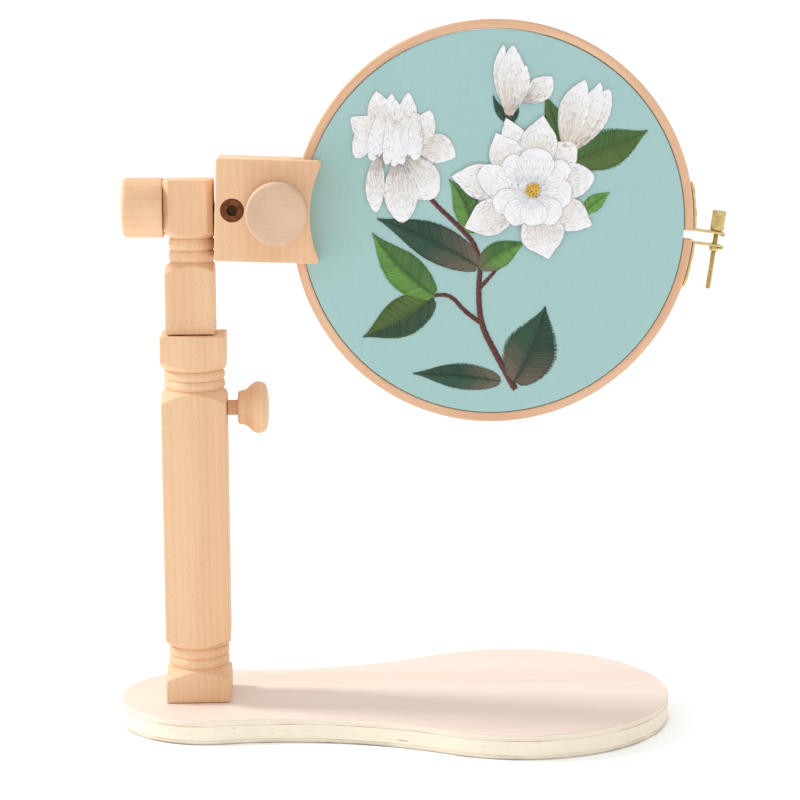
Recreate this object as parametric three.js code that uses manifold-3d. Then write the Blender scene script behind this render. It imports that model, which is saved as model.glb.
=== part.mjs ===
// Embroidery hoop on a beech stand: a figure-of-eight plywood base, a square turned post whose upper half
// slides in the lower one, a swivelling wooden clamp, and a split wooden hoop with its stretched cloth.
// Millimetres, +Z up, +X towards the hoop, -Y towards the person stitching.
// The origin is on the underside of the base, on the axis of the post.
import * as THREE from 'three';
import { mergeVertices } from 'three/addons/utils/BufferGeometryUtils.js';
import Module from 'manifold-3d';

const wasm = await Module();
wasm.setup();

const GAP = 0.3; // clearance left between two pieces that touch
const DEG = Math.PI / 180;
const SIDES = { post: 28, knob: 28, small: 12, bore: 16, ring: 72 }; // facets round each kind of turning

// Base board: a small lobe under the post, a large lobe under the hoop and a waist between them.
const BASE = {
  thickness: 13,
  small: { x: 6.5, radius: 50.3 },
  large: { x: 175.7, radius: 84 },
  waistRadius: 187,
  screwX: 9,
};
const BASE_SCREW = { shank: 2, head: 4, headDepth: 2.6, length: 30 };

// Lower post: 35 mm square beech with two turned bands of beads, bored for the tenon.
const LOWER = {
  half: 17.5,
  cornerRadius: 1.2,
  footTop: 30,
  shaftBottom: 43.9,
  shaftTop: 183.3,
  collarBottom: 196.5,
  top: 214.7,
  beadRadius: 16.7,
  grooveRadius: 15.5,
  bore: 10.3,
  boreFloor: 50,
};
const CONE_SLOPE = 0.7; // rise over run of the turned shoulders where a square runs into a round

// Upper post: a smaller square shaft on a round tenon, with a head for the clamp's axle.
const UPPER = {
  half: 13.2,
  shiftX: -1.2, // the square was turned a little off centre
  cornerRadius: 0.9,
  headChamfer: 3,
  shoulder: 215.4,
  shaftTop: 252.1,
  headBottom: 267.7,
  top: 297.6,
  beadRadius: 12.4,
  grooveRadius: 11.2,
  tenon: 10,
  tenonLength: 160,
};

// Thumb screw in the side of the lower post.
const LOCK = { z: 173.8, stud: 3, tip: 10.4, insertRadius: 5, insertLength: 6.2, neckStart: 18.2 };

// Axle that the clamp swivels on, and the turned knob that tightens it.
const AXLE = { z: 282.4, bolt: 3, holeRadius: 4, knobRadius: 16, knobLength: 22.5, tipX: 26 };

// Clamp: an L-shaped body and a loose front jaw. Lengths run from its left face, along the clamp.
const CLAMP = {
  faceX: 13.5,
  droop: 2 * DEG, // the clamp hangs this much below level
  length: 55.1,
  halfHeight: 27,
  jaw: 15,
  endRadius: 60,
  endDepth: 49.9,
  tipHalf: 24.4,
  edge: 1.3,
  slotY: -3, // middle plane of the slot, which is also the plane of the hoop
  slotHalf: 5.4,
  spacerGap: 0.6,
  spacerEnd: 39.3,
  boltX: 32.5,
  insertX: 6.5,
  faceInsertX: 9.1,
  dowelX: 12,
  dowelZ: 18,
  dowel: 3,
};
const INSERT = { radius: 4.3, bore: 3.6, flange: 6, flangeDepth: 1, length: 12.5, hex: 3.1, hexDepth: 4 };

// Hoop: its centre lies on the clamp's long axis, a little low.
const HOOP = {
  x: 148.4,
  z: -4,
  halfDepth: 5,
  outer: 107.75,
  outerBore: 102.75,
  inner: 102,
  innerBore: 97.2,
  cloth: 0.4,
  gapAngle: -1.9 * DEG,
  gapWidth: 4.6,
};

// Brass closing hardware: two riveted brackets with tabs, a knurled screw and its nut.
const BRACKET = {
  thickness: 1.3,
  width: 9,
  start: 1.4 * DEG, // measured from the middle of the gap
  end: 15.2 * DEG,
  rivets: [6 * DEG, 12.5 * DEG],
  tabAngle: -5.9 * DEG,
  tabMiddle: 7,
  tabHalfSpacing: 3.45,
  tabEnd: 124,
  tabThickness: 1.1,
  lip: 0.9,
};
const RIVET = { shank: 1.2, head: 2.3, rise: 0.8, length: 4 };
const HOOP_SCREW = {
  out: 120.5, shank: 1.55, hole: 1.9, head: 3.65, headLength: 11, tip: -20.2, nut: 2.5, nutLength: 2.2,
};

const FINISH = {
  beech: { color: 0xecc098, roughness: 0.55, metalness: 0 },
  ply: { color: 0xf9e8da, roughness: 0.6, metalness: 0 },
  hoopWood: { color: 0xe4ba9d, roughness: 0.5, metalness: 0 },
  cloth: { color: 0xaacfcb, roughness: 0.9, metalness: 0 },
  steel: { color: 0xb8b8b4, roughness: 0.35, metalness: 1 },
  bronze: { color: 0x6e3c23, roughness: 0.4, metalness: 1 },
  brass: { color: 0xb5a05a, roughness: 0.3, metalness: 1 },
};

// ---------- solids ----------

// A closed geometry as a solid: vertices welded, slivers dropped, faces turned outwards.
function solid(geometry) {
  const bare = geometry.clone();
  bare.deleteAttribute('normal');
  bare.deleteAttribute('uv');
  const welded = mergeVertices(bare, 1e-4);
  const corners = welded.index.array;
  const triangles = [];
  for (let i = 0; i < corners.length; i += 3) {
    const [a, b, c] = corners.slice(i, i + 3);
    if (a !== b && b !== c && c !== a) triangles.push(a, b, c);
  }
  const vertProperties = new Float32Array(welded.attributes.position.array);
  const make = (list) =>
    new wasm.Manifold(new wasm.Mesh({ numProp: 3, vertProperties, triVerts: new Uint32Array(list) }));
  const made = make(triangles);
  return made.volume() > 0 ? made : make(triangles.reverse());
}

// A solid turned about +Z from a profile of [radius, height] points.
function turned(profile, sides) {
  const points = profile.map(([radius, height]) => new THREE.Vector2(radius, height));
  return new THREE.LatheGeometry(points, sides).rotateX(Math.PI / 2);
}

// A plain round bar along +Z with small chamfers.
function bar(radius, from, to, sides, chamfer = 0) {
  const profile = [[0, from], [radius - chamfer, from]];
  if (chamfer > 0) profile.push([radius, from + chamfer], [radius, to - chamfer]);
  profile.push([radius - chamfer, to], [0, to]);
  return turned(profile, sides);
}

// Turns a geometry built along +Z to lie along +X, or along -Y.
const alongX = (geometry) => geometry.rotateY(Math.PI / 2);
const towardsFront = (geometry) => geometry.rotateX(Math.PI / 2);

// An outline drawn in X and Z, extruded from y = from to y = to, with softened edges.
function slab(outline, from, to, edge = 0, curveSegments = 8) {
  const depth = to - from - 2 * edge;
  const options = { depth, curveSegments, bevelEnabled: edge > 0 };
  Object.assign(options, { bevelSize: edge, bevelThickness: edge, bevelOffset: -edge, bevelSegments: 1 });
  return new THREE.ExtrudeGeometry(outline, options).translate(0, 0, edge).rotateX(Math.PI / 2)
    .translate(0, to, 0);
}

// A square with its corners rounded, or cut flat when segments is 1.
function squareOutline(half, corner) {
  const shape = new THREE.Shape();
  const inner = half - corner;
  shape.moveTo(half, -inner);
  shape.absarc(inner, inner, corner, 0, 90 * DEG, false);
  shape.absarc(-inner, inner, corner, 90 * DEG, 180 * DEG, false);
  shape.absarc(-inner, -inner, corner, 180 * DEG, 270 * DEG, false);
  shape.absarc(inner, -inner, corner, 270 * DEG, 360 * DEG, false);
  return shape;
}

function squarePrism(half, corner, from, to, segments = 3) {
  const options = { depth: to - from, bevelEnabled: false, curveSegments: segments };
  return new THREE.ExtrudeGeometry(squareOutline(half, corner), options).translate(0, 0, from);
}

// ---------- base ----------

// Two lobes joined by concave arcs that touch both of them.
function baseOutline() {
  const { small, large, waistRadius } = BASE;
  const span = large.x - small.x;
  const toSmall = small.radius + waistRadius;
  const toLarge = large.radius + waistRadius;
  const along = (toSmall ** 2 - toLarge ** 2 + span ** 2) / (2 * span);
  const across = Math.sqrt(toSmall ** 2 - along ** 2);
  const smallAngle = Math.atan2(across, along);
  const largeAngle = Math.atan2(across, along - span);
  const shape = new THREE.Shape();
  shape.absarc(large.x, 0, large.radius, -largeAngle, largeAngle, false);
  shape.absarc(small.x + along, across, waistRadius, largeAngle + Math.PI, smallAngle + Math.PI, true);
  shape.absarc(small.x, 0, small.radius, smallAngle, 2 * Math.PI - smallAngle, false);
  shape.absarc(small.x + along, -across, waistRadius, Math.PI - smallAngle, Math.PI - largeAngle, true);
  return shape;
}

function baseBoard() {
  const { thickness, screwX } = BASE;
  const options = { depth: thickness, curveSegments: 20, bevelEnabled: false };
  let board = solid(new THREE.ExtrudeGeometry(baseOutline(), options));
  for (const x of [-screwX, screwX]) {
    board = board.subtract(solid(screwShape(GAP, 1).translate(x, 0, 0)));
  }
  return board;
}

// A countersunk wood screw that points up, or the hole it needs when grown by a gap.
function screwShape(grow = 0, reach = 0) {
  const { shank, head, headDepth, length } = BASE_SCREW;
  const sink = 0.8; // how far the head is sunk below the board's underside
  const profile = [
    [0, grow > 0 ? -reach : sink],
    [head + grow, grow > 0 ? -reach : sink],
    [head + grow, sink + grow],
    [shank + grow, sink + headDepth],
    [shank + grow, length - 3],
    [grow, length + grow],
  ];
  if (grow > 0) profile.push([0, length + grow]);
  return turned(profile, SIDES.small);
}

// ---------- posts ----------

// The turned silhouette of a run of two round beads between two square blocks.
function beadRun(half, bead, groove, lowerFace, upperFace) {
  const cone = (face, radius, sign) => face - sign * CONE_SLOPE * (radius - half);
  const reach = half * 1.5;
  const from = cone(lowerFace, groove, 1);
  const to = cone(upperFace, groove, -1);
  const points = [[reach, cone(lowerFace, reach, 1)], [groove, from]];
  const count = 2;
  const pitch = (to - from) / count;
  for (let i = 0; i < count; i += 1) {
    for (const turn of [0.2, 0.5, 0.8, 1]) {
      const swell = (bead - groove) * Math.sqrt(Math.sin(turn * Math.PI) + 1e-9);
      points.push([groove + (turn < 1 ? swell : 0), from + (i + turn) * pitch]);
    }
  }
  points.push([reach, cone(upperFace, reach, -1)]);
  return points;
}

function lowerPost() {
  const { half, beadRadius, grooveRadius, footTop, shaftBottom, shaftTop, collarBottom, top } = LOWER;
  const bottom = BASE.thickness + GAP;
  const reach = half * 1.5;
  const envelope = [
    [0, bottom],
    [reach, bottom],
    ...beadRun(half, beadRadius, grooveRadius, footTop, shaftBottom),
    ...beadRun(half, beadRadius, grooveRadius, shaftTop, collarBottom),
    [reach, top],
    [0, top],
  ];
  let post = solid(squarePrism(half, LOWER.cornerRadius, bottom, top));
  post = post.intersect(solid(turned(envelope, SIDES.post)));
  post = post.subtract(solid(bar(LOWER.bore, LOWER.boreFloor, top + 1, SIDES.post)));
  const insertHole = alongX(bar(LOCK.insertRadius + GAP, LOWER.bore - 3, half + 1, SIDES.small));
  post = post.subtract(solid(insertHole.translate(0, 0, LOCK.z)));
  for (const x of [-BASE.screwX, BASE.screwX]) {
    post = post.subtract(solid(screwShape(GAP, 1).translate(x, 0, 0)));
  }
  return post;
}

function upperPost() {
  const { half, shiftX, beadRadius, grooveRadius, shoulder, shaftTop, headBottom, top } = UPPER;
  const reach = half * 1.7;
  const envelope = [
    [0, shoulder - UPPER.tenonLength],
    [UPPER.tenon - 1, shoulder - UPPER.tenonLength],
    [UPPER.tenon, shoulder - UPPER.tenonLength + 1],
    [UPPER.tenon, shoulder],
    [reach, shoulder],
    ...beadRun(half, beadRadius, grooveRadius, shaftTop, headBottom),
    [reach, top],
    [0, top],
  ];
  const middle = (shaftTop + headBottom) / 2;
  const shaft = squarePrism(half, UPPER.cornerRadius, shoulder - UPPER.tenonLength - 1, middle);
  const head = squarePrism(half, UPPER.headChamfer, middle - 1, top, 1);
  const square = solid(shaft).add(solid(head)).translate([shiftX, 0, 0]);
  const post = square.intersect(solid(turned(envelope, SIDES.post)));
  const hole = alongX(bar(AXLE.holeRadius, -2 * half, 2 * half, SIDES.small)).translate(0, 0, AXLE.z);
  return post.subtract(solid(hole));
}

// ---------- knobs and threaded parts ----------

// The lock knob's turned shape: a thin neck, a collar that flares a little and a mushroom head.
function lockKnob() {
  const start = LOCK.neckStart;
  const profile = [
    [0, start], [4.2, start], [4.2, start + 5], [9, start + 5.3], [10.2, start + 10.6], [12.6, start + 12.6],
    [14, start + 15], [14.1, start + 17.2], [13.2, start + 19.4], [10.8, start + 21], [0, start + 22],
  ];
  const socket = bar(LOCK.stud + GAP, start - 1, start + 15, SIDES.small);
  return solid(alongX(turned(profile, SIDES.knob))).subtract(solid(alongX(socket)))
    .translate([0, 0, LOCK.z]);
}

// A plain cylindrical knob along +Z: its bored face at height 0, its rounded face at its length.
function barrelKnob(round, crown) {
  const { knobRadius, knobLength } = AXLE;
  const profile = [[0, 0], [knobRadius - 1, 0], [knobRadius, 1]];
  for (const turn of [0, 30, 60, 90]) {
    const radius = knobRadius - round + round * Math.cos(turn * DEG);
    profile.push([radius, knobLength - crown - round + round * Math.sin(turn * DEG)]);
  }
  profile.push([0, knobLength]);
  const socket = bar(AXLE.bolt + GAP, -1, knobLength * 0.65, SIDES.small);
  return solid(turned(profile, SIDES.knob)).subtract(solid(socket));
}

// A threaded insert along -Z from its flange at height 0, with a hexagonal driving socket.
function threadedInsert() {
  const { radius, bore, flange, flangeDepth, length, hex, hexDepth } = INSERT;
  const profile = [[0, -length], [radius, -length], [radius, -flangeDepth], [flange, -flangeDepth]];
  profile.push([flange, -0.3], [flange - 0.4, 0], [0, 0]);
  const through = bar(bore - 0.9, -length - 1, 1, SIDES.small);
  const socket = bar(hex, -hexDepth, 1, 6);
  return solid(turned(profile, SIDES.bore)).subtract(solid(through)).subtract(solid(socket));
}

// A plain threaded bush along +Z for a bolt, without a driving socket.
function bush(radius, bore, from, to) {
  const hollow = bar(bore, from - 1, to + 1, SIDES.small);
  return solid(bar(radius, from, to, SIDES.bore)).subtract(solid(hollow));
}

// ---------- clamp, in its own frame: x from its left face, z from its long axis ----------

// A plate with a concave right-hand end.
function jawOutline() {
  const { length, halfHeight, endRadius, endDepth, tipHalf } = CLAMP;
  const centre = endDepth + endRadius;
  const sweep = Math.asin(tipHalf / endRadius);
  const corner = 1.5;
  const shape = new THREE.Shape();
  shape.moveTo(corner, -halfHeight);
  shape.lineTo(length - 3.2, -halfHeight);
  shape.quadraticCurveTo(length + 0.3, -halfHeight, length, -tipHalf);
  shape.absarc(centre, 0, endRadius, Math.PI + sweep, Math.PI - sweep, true);
  shape.quadraticCurveTo(length + 0.3, halfHeight, length - 3.2, halfHeight);
  shape.lineTo(corner, halfHeight);
  shape.absarc(corner, halfHeight - corner, corner, 90 * DEG, 180 * DEG, false);
  shape.absarc(corner, corner - halfHeight, corner, 180 * DEG, 270 * DEG, false);
  return shape;
}

// The filling between the jaws, which stops short of the hoop and leaves a slot open above and below it.
function spacerOutline() {
  const { halfHeight, spacerEnd } = CLAMP;
  const shape = new THREE.Shape();
  shape.moveTo(0, -halfHeight);
  shape.lineTo(spacerEnd, -halfHeight);
  shape.lineTo(spacerEnd, halfHeight);
  shape.lineTo(0, halfHeight);
  shape.closePath();
  return shape;
}

function clampBody() {
  const { slotY, slotHalf, jaw, edge, spacerGap, boltX, dowelX, dowelZ, dowel } = CLAMP;
  const slotFront = slotY - slotHalf;
  const slotBack = slotY + slotHalf;
  const plate = solid(slab(jawOutline(), slotBack, slotBack + jaw, edge));
  const spacer = solid(slab(spacerOutline(), slotFront + spacerGap, slotBack + edge + 1));
  let body = plate.add(spacer);
  const cut = (geometry, x, z) => {
    body = body.subtract(solid(geometry.translate(x, 0, z)));
  };
  cut(alongX(bar(INSERT.radius + GAP, -1, INSERT.length + 1.5, SIDES.small)), 0, 0);
  const back = slotBack + jaw;
  cut(towardsFront(bar(AXLE.bolt + GAP, -back, -slotFront + 1, SIDES.small)), boltX, 0);
  cut(towardsFront(bar(INSERT.radius + GAP, -back - 1, INSERT.length - back, SIDES.small)), boltX, 0);
  for (const z of [-dowelZ, dowelZ]) {
    cut(towardsFront(bar(dowel + GAP, -slotBack - 4, -slotFront + 1, SIDES.small)), dowelX, z);
  }
  return body;
}

function frontJaw() {
  const { slotY, slotHalf, jaw, edge, boltX, faceInsertX, dowelX, dowelZ, dowel } = CLAMP;
  const inner = slotY - slotHalf;
  const face = inner - jaw;
  let plate = solid(slab(jawOutline(), face, inner, edge));
  const cut = (geometry, x, z) => {
    plate = plate.subtract(solid(towardsFront(geometry).translate(x, 0, z)));
  };
  cut(bar(AXLE.bolt + GAP, -inner - 1, -face + 1, SIDES.small), boltX, 0);
  cut(bar(INSERT.radius + GAP, -face - INSERT.length - 1, -face + 1, SIDES.small), faceInsertX, 0);
  cut(bar(INSERT.flange + GAP, -face - INSERT.flangeDepth - 2 * GAP, -face + 1, SIDES.bore), faceInsertX, 0);
  for (const z of [-dowelZ, dowelZ]) {
    cut(bar(dowel + GAP, -inner - 1, -inner + 8, SIDES.small), dowelX, z);
  }
  return plate;
}

// ---------- hoop, in its own frame: centre at the origin, axis along Y ----------

// A plain ring about Y, from y = from to y = to.
function ring(bore, outer, from, to) {
  const profile = [[bore, from], [outer, from], [outer, to], [bore, to], [bore, from]];
  return new THREE.LatheGeometry(profile.map(([r, y]) => new THREE.Vector2(r, y)), SIDES.ring);
}

// Turns a geometry that points along +X to point along an angle in the plane of the hoop.
const swing = (geometry, angle) => geometry.rotateY(-angle);

function outerRing() {
  const { outerBore, outer, halfDepth, gapAngle, gapWidth } = HOOP;
  let wood = solid(ring(outerBore, outer, -halfDepth, halfDepth));
  const saw = new THREE.BoxGeometry(20, 3 * halfDepth, gapWidth).translate((outerBore + outer) / 2, 0, 0);
  wood = wood.subtract(solid(swing(saw, gapAngle)));
  for (const side of [-1, 1]) {
    for (const angle of BRACKET.rivets) {
      wood = wood.subtract(solid(rivetShape(gapAngle + side * angle, GAP)));
    }
  }
  return wood;
}

// A rivet that points at the hoop's centre, or its hole when grown by a gap.
function rivetShape(angle, grow = 0) {
  const { shank, head, rise, length } = RIVET;
  const seat = HOOP.outer + BRACKET.thickness + GAP;
  const profile = [[0, HOOP.outer - length - grow], [shank + grow, HOOP.outer - length - grow]];
  if (grow > 0) {
    profile.push([shank + grow, seat + 3], [0, seat + 3]);
  } else {
    profile.push([shank, seat + 0.1], [head, seat + 0.1]);
    profile.push([head * 0.75, seat + rise * 0.7], [0, seat + rise]);
  }
  return swing(alongX(turned(profile, SIDES.small)), angle);
}

// A strip that hugs the ring on one side of its gap, with a tab for the screw.
function bracket(side) {
  const { thickness, width, start, end, tabAngle, tabMiddle, tabHalfSpacing, tabEnd } = BRACKET;
  const inside = HOOP.outer + GAP;
  const outside = inside + thickness;
  const [from, to] = [start, end].map((angle) => HOOP.gapAngle + side * angle).sort((a, b) => a - b);
  const strip = new THREE.Shape();
  strip.absarc(0, 0, outside, from, to, false);
  strip.absarc(0, 0, inside, to, from, true);
  let body = solid(slab(strip, -width / 2, width / 2, 0, 10));
  const level = tabMiddle + side * tabHalfSpacing;
  const root = inside + 0.15;
  const plate = new THREE.BoxGeometry(tabEnd - root, width, BRACKET.tabThickness);
  body = body.add(solid(swing(plate.translate((tabEnd + root) / 2, 0, level), tabAngle)));
  const lip = towardsFront(bar(BRACKET.lip, -width / 2, width / 2, SIDES.small));
  const lipLevel = level + BRACKET.tabThickness / 2 - BRACKET.lip; // curled under the tab
  body = body.add(solid(swing(lip.translate(tabEnd, 0, lipLevel), tabAngle)));
  const hole = bar(HOOP_SCREW.hole, level - 3, level + 3, SIDES.small).translate(HOOP_SCREW.out, 0, 0);
  body = body.subtract(solid(swing(hole, tabAngle)));
  for (const angle of BRACKET.rivets) {
    body = body.subtract(solid(rivetShape(HOOP.gapAngle + side * angle, GAP)));
  }
  return body;
}

function hoopScrew() {
  const { shank, head, headLength, tip, out } = HOOP_SCREW;
  const seat = BRACKET.tabMiddle + BRACKET.tabHalfSpacing + BRACKET.tabThickness / 2 + GAP;
  const profile = [
    [0, tip], [shank - 0.5, tip], [shank, tip + 0.6], [shank, seat], [head - 0.4, seat], [head, seat + 0.4],
    [head, seat + headLength - 0.5], [head - 0.5, seat + headLength], [0, seat + headLength],
  ];
  return solid(swing(turned(profile, SIDES.bore).translate(out, 0, 0), BRACKET.tabAngle));
}

function hoopNut() {
  const { nut, nutLength, hole, out } = HOOP_SCREW;
  const top = BRACKET.tabMiddle - BRACKET.tabHalfSpacing - BRACKET.tabThickness / 2 - GAP;
  const outside = bar(nut, top - nutLength, top, SIDES.bore).translate(out, 0, 0);
  const inside = bar(hole, top - nutLength - 1, top + 1, SIDES.small).translate(out, 0, 0);
  return solid(swing(outside, BRACKET.tabAngle)).subtract(solid(swing(inside, BRACKET.tabAngle)));
}

// ---------- assembly ----------

// A named mesh of one solid in one finish.
function piece(name, body, finish) {
  const shell = body.getMesh();
  const geometry = new THREE.BufferGeometry();
  geometry.setAttribute('position', new THREE.BufferAttribute(new Float32Array(shell.vertProperties), 3));
  geometry.setIndex(new THREE.BufferAttribute(new Uint32Array(shell.triVerts), 1));
  geometry.computeVertexNormals();
  const mesh = new THREE.Mesh(geometry, new THREE.MeshStandardMaterial(FINISH[finish]));
  mesh.name = name;
  return mesh;
}

function stand() {
  const group = new THREE.Group();
  group.add(piece('base_board', baseBoard(), 'ply'));
  [-BASE.screwX, BASE.screwX].forEach((x, i) => {
    group.add(piece(`base_screw_${i + 1}`, solid(screwShape().translate(x, 0, 0)), 'steel'));
  });
  group.add(piece('lower_post', lowerPost(), 'beech'));
  group.add(piece('upper_post', upperPost(), 'beech'));
  return group;
}

function lockScrew() {
  const group = new THREE.Group();
  const face = LOWER.half;
  const insert = bush(LOCK.insertRadius, LOCK.stud + GAP, face - LOCK.insertLength, face - 0.1);
  const stud = bar(LOCK.stud, LOCK.tip, LOCK.neckStart + 14, SIDES.small, 0.5);
  const turn = new THREE.Matrix4().makeRotationY(Math.PI / 2).setPosition(0, 0, LOCK.z);
  const lay = (body) => body.transform(turn.toArray());
  group.add(piece('lock_insert', lay(insert), 'bronze'));
  group.add(piece('lock_stud', lay(solid(stud)), 'steel'));
  group.add(piece('lock_knob', lockKnob(), 'beech'));
  return group;
}

function axle() {
  const group = new THREE.Group();
  const knobFace = UPPER.shiftX - UPPER.half - GAP;
  const bolt = alongX(bar(AXLE.bolt, knobFace - AXLE.knobLength * 0.6, AXLE.tipX, SIDES.small, 0.5));
  const knob = piece('axle_knob', barrelKnob(2.6, 0.8), 'beech');
  knob.rotation.y = -Math.PI / 2;
  knob.position.x = knobFace;
  group.add(piece('axle_bolt', solid(bolt), 'steel'), knob);
  group.position.z = AXLE.z;
  return group;
}

function clamp() {
  const group = new THREE.Group();
  const { slotY, slotHalf, jaw, boltX, insertX, faceInsertX, dowelX, dowelZ, dowel } = CLAMP;
  const inner = slotY - slotHalf;
  const face = inner - jaw;
  const back = slotY + slotHalf + jaw;
  group.add(piece('clamp_body', clampBody(), 'beech'), piece('front_jaw', frontJaw(), 'beech'));
  const axleInsert = piece('axle_insert', bush(INSERT.radius, INSERT.bore, 0.2, INSERT.length), 'bronze');
  axleInsert.rotation.y = Math.PI / 2;
  group.add(axleInsert);
  const faceInsert = piece('face_insert', threadedInsert(), 'bronze');
  faceInsert.rotation.x = Math.PI / 2;
  faceInsert.position.set(faceInsertX, face + GAP, 0);
  group.add(faceInsert);
  const clampBush = bush(INSERT.radius, AXLE.bolt + GAP, 0.2, INSERT.length - GAP);
  const clampInsert = piece('clamp_insert', clampBush, 'bronze');
  clampInsert.rotation.x = Math.PI / 2;
  clampInsert.position.set(boltX, back, 0);
  group.add(clampInsert);
  for (const [name, z] of [['jaw_dowel_upper', dowelZ], ['jaw_dowel_lower', -dowelZ]]) {
    const pin = towardsFront(bar(dowel, -inner - 2 * slotHalf - 3, -inner + 7, SIDES.small, 0.5));
    group.add(piece(name, solid(pin.translate(dowelX, 0, z)), 'beech'));
  }
  const bolt = bar(AXLE.bolt, 2 - back, -face + AXLE.knobLength * 0.6, SIDES.small, 0.5);
  group.add(piece('clamp_bolt', solid(towardsFront(bolt).translate(boltX, 0, 0)), 'steel'));
  const knob = piece('clamp_knob', barrelKnob(1.8, 0.3), 'beech');
  knob.rotation.x = Math.PI / 2;
  knob.position.set(boltX, face - GAP, 0);
  group.add(knob, hoop());
  group.rotation.y = CLAMP.droop;
  group.position.set(CLAMP.faceX, 0, AXLE.z + insertX * Math.sin(CLAMP.droop));
  return group;
}

function hoop() {
  const group = new THREE.Group();
  const { halfDepth, cloth, inner, innerBore, outerBore } = HOOP;
  const clothFront = -halfDepth - 0.1;
  const innerFront = clothFront + cloth + GAP;
  group.add(piece('outer_ring', outerRing(), 'hoopWood'));
  group.add(piece('inner_ring', solid(ring(innerBore, inner, innerFront, halfDepth)), 'hoopWood'));
  const disc = bar(outerBore - GAP, -clothFront - cloth, -clothFront, SIDES.ring);
  group.add(piece('fabric', solid(towardsFront(disc)), 'cloth'));
  for (const [label, side] of [['upper', 1], ['lower', -1]]) {
    group.add(piece(`${label}_bracket`, bracket(side), 'brass'));
    BRACKET.rivets.forEach((angle, i) => {
      const rivet = solid(rivetShape(HOOP.gapAngle + side * angle));
      group.add(piece(`${label}_rivet_${i + 1}`, rivet, 'brass'));
    });
  }
  group.add(piece('hoop_screw', hoopScrew(), 'brass'), piece('hoop_nut', hoopNut(), 'brass'));
  group.position.set(HOOP.x, CLAMP.slotY, HOOP.z);
  return group;
}

const object = new THREE.Group();
object.add(stand(), lockScrew(), axle(), clamp());
object.updateMatrixWorld(true);

export default object;
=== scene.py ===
"""An embroidery hoop on a beech stand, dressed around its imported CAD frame.

Lengths are metres, and MM turns millimetres into them. +X runs towards the hoop, -Y towards the person
who stitches and +Z up. The origin lies under the base, on the axis of the post.
"""

from __future__ import annotations

import logging
import math
from dataclasses import dataclass, field
from enum import Enum

import bpy
import numpy as np
from mathutils import Matrix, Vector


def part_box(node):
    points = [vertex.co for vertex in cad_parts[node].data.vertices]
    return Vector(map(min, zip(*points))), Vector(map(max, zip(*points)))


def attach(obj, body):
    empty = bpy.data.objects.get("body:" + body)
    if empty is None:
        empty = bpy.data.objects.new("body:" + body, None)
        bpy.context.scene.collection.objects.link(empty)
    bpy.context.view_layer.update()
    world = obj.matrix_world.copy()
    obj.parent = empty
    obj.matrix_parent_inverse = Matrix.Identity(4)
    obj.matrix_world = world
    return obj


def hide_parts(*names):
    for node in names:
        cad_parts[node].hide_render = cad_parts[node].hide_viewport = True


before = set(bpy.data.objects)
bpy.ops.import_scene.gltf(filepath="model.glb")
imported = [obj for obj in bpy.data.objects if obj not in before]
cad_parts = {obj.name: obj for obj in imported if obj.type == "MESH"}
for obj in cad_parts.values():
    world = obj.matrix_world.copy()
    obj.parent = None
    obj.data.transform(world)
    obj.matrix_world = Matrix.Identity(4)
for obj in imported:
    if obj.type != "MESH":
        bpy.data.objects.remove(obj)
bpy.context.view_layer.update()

MM = 0.001
DROOP = math.radians(2.0)  # the clamp hangs this much below level
CLAMP_FACE = 13.5 * MM  # from the post's axis to the clamp's left face
CLAMP_PIVOT = 6.5 * MM  # from that face to the point it swings about
HOOP_IN_CLAMP = (148.4 * MM, -3.0 * MM, -4.0 * MM)  # the hoop's centre, in the clamp's own axes
THREAD_SEED = 11  # where the unevenness of the stitches starts
LOG = logging.getLogger("embroidery_hoop")
Array = np.ndarray
Point = tuple[float, float]
Colour = tuple[float, float, float]
Stations = list[tuple[Array, Array, float]]


def srgb(red: int, green: int, blue: int) -> tuple[float, float, float, float]:
    """A colour given as 0 to 255 screen values, as the linear RGBA that a socket takes."""
    linear = [((c / 255 + 0.055) / 1.055) ** 2.4 if c > 10 else c / 255 / 12.92 for c in (red, green, blue)]
    return (linear[0], linear[1], linear[2], 1.0)


def span(node: str, axis: int) -> Point:
    """Lowest and highest place of a CAD node along one axis of the frame."""
    low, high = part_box(node)
    return low[axis], high[axis]


def middle(node: str, axis: int) -> float:
    """The middle of a CAD node along one axis of the frame."""
    low, high = span(node, axis)
    return (low + high) / 2


# ---------- shader expressions ----------


class Value:
    """A shader socket that takes part in Python arithmetic through Math nodes."""

    def __init__(self, graph: Graph, socket: bpy.types.NodeSocket) -> None:
        """Keeps the socket and the graph it belongs to."""
        self.graph = graph
        self.socket = socket

    def maths(self, operation: str, first: object, second: object) -> Value:
        """One Math node that joins two operands."""
        return self.graph.add("ShaderNodeMath", {"operation": operation}, {0: first, 1: second})

    def __add__(self, other: object) -> Value:
        """This value plus another."""
        return self.maths("ADD", self, other)

    def __radd__(self, other: object) -> Value:
        """Another value plus this one."""
        return self.maths("ADD", other, self)

    def __sub__(self, other: object) -> Value:
        """This value less another."""
        return self.maths("SUBTRACT", self, other)

    def __rsub__(self, other: object) -> Value:
        """Another value less this one."""
        return self.maths("SUBTRACT", other, self)

    def __mul__(self, other: object) -> Value:
        """This value times another."""
        return self.maths("MULTIPLY", self, other)

    def __rmul__(self, other: object) -> Value:
        """Another value times this one."""
        return self.maths("MULTIPLY", other, self)


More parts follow.
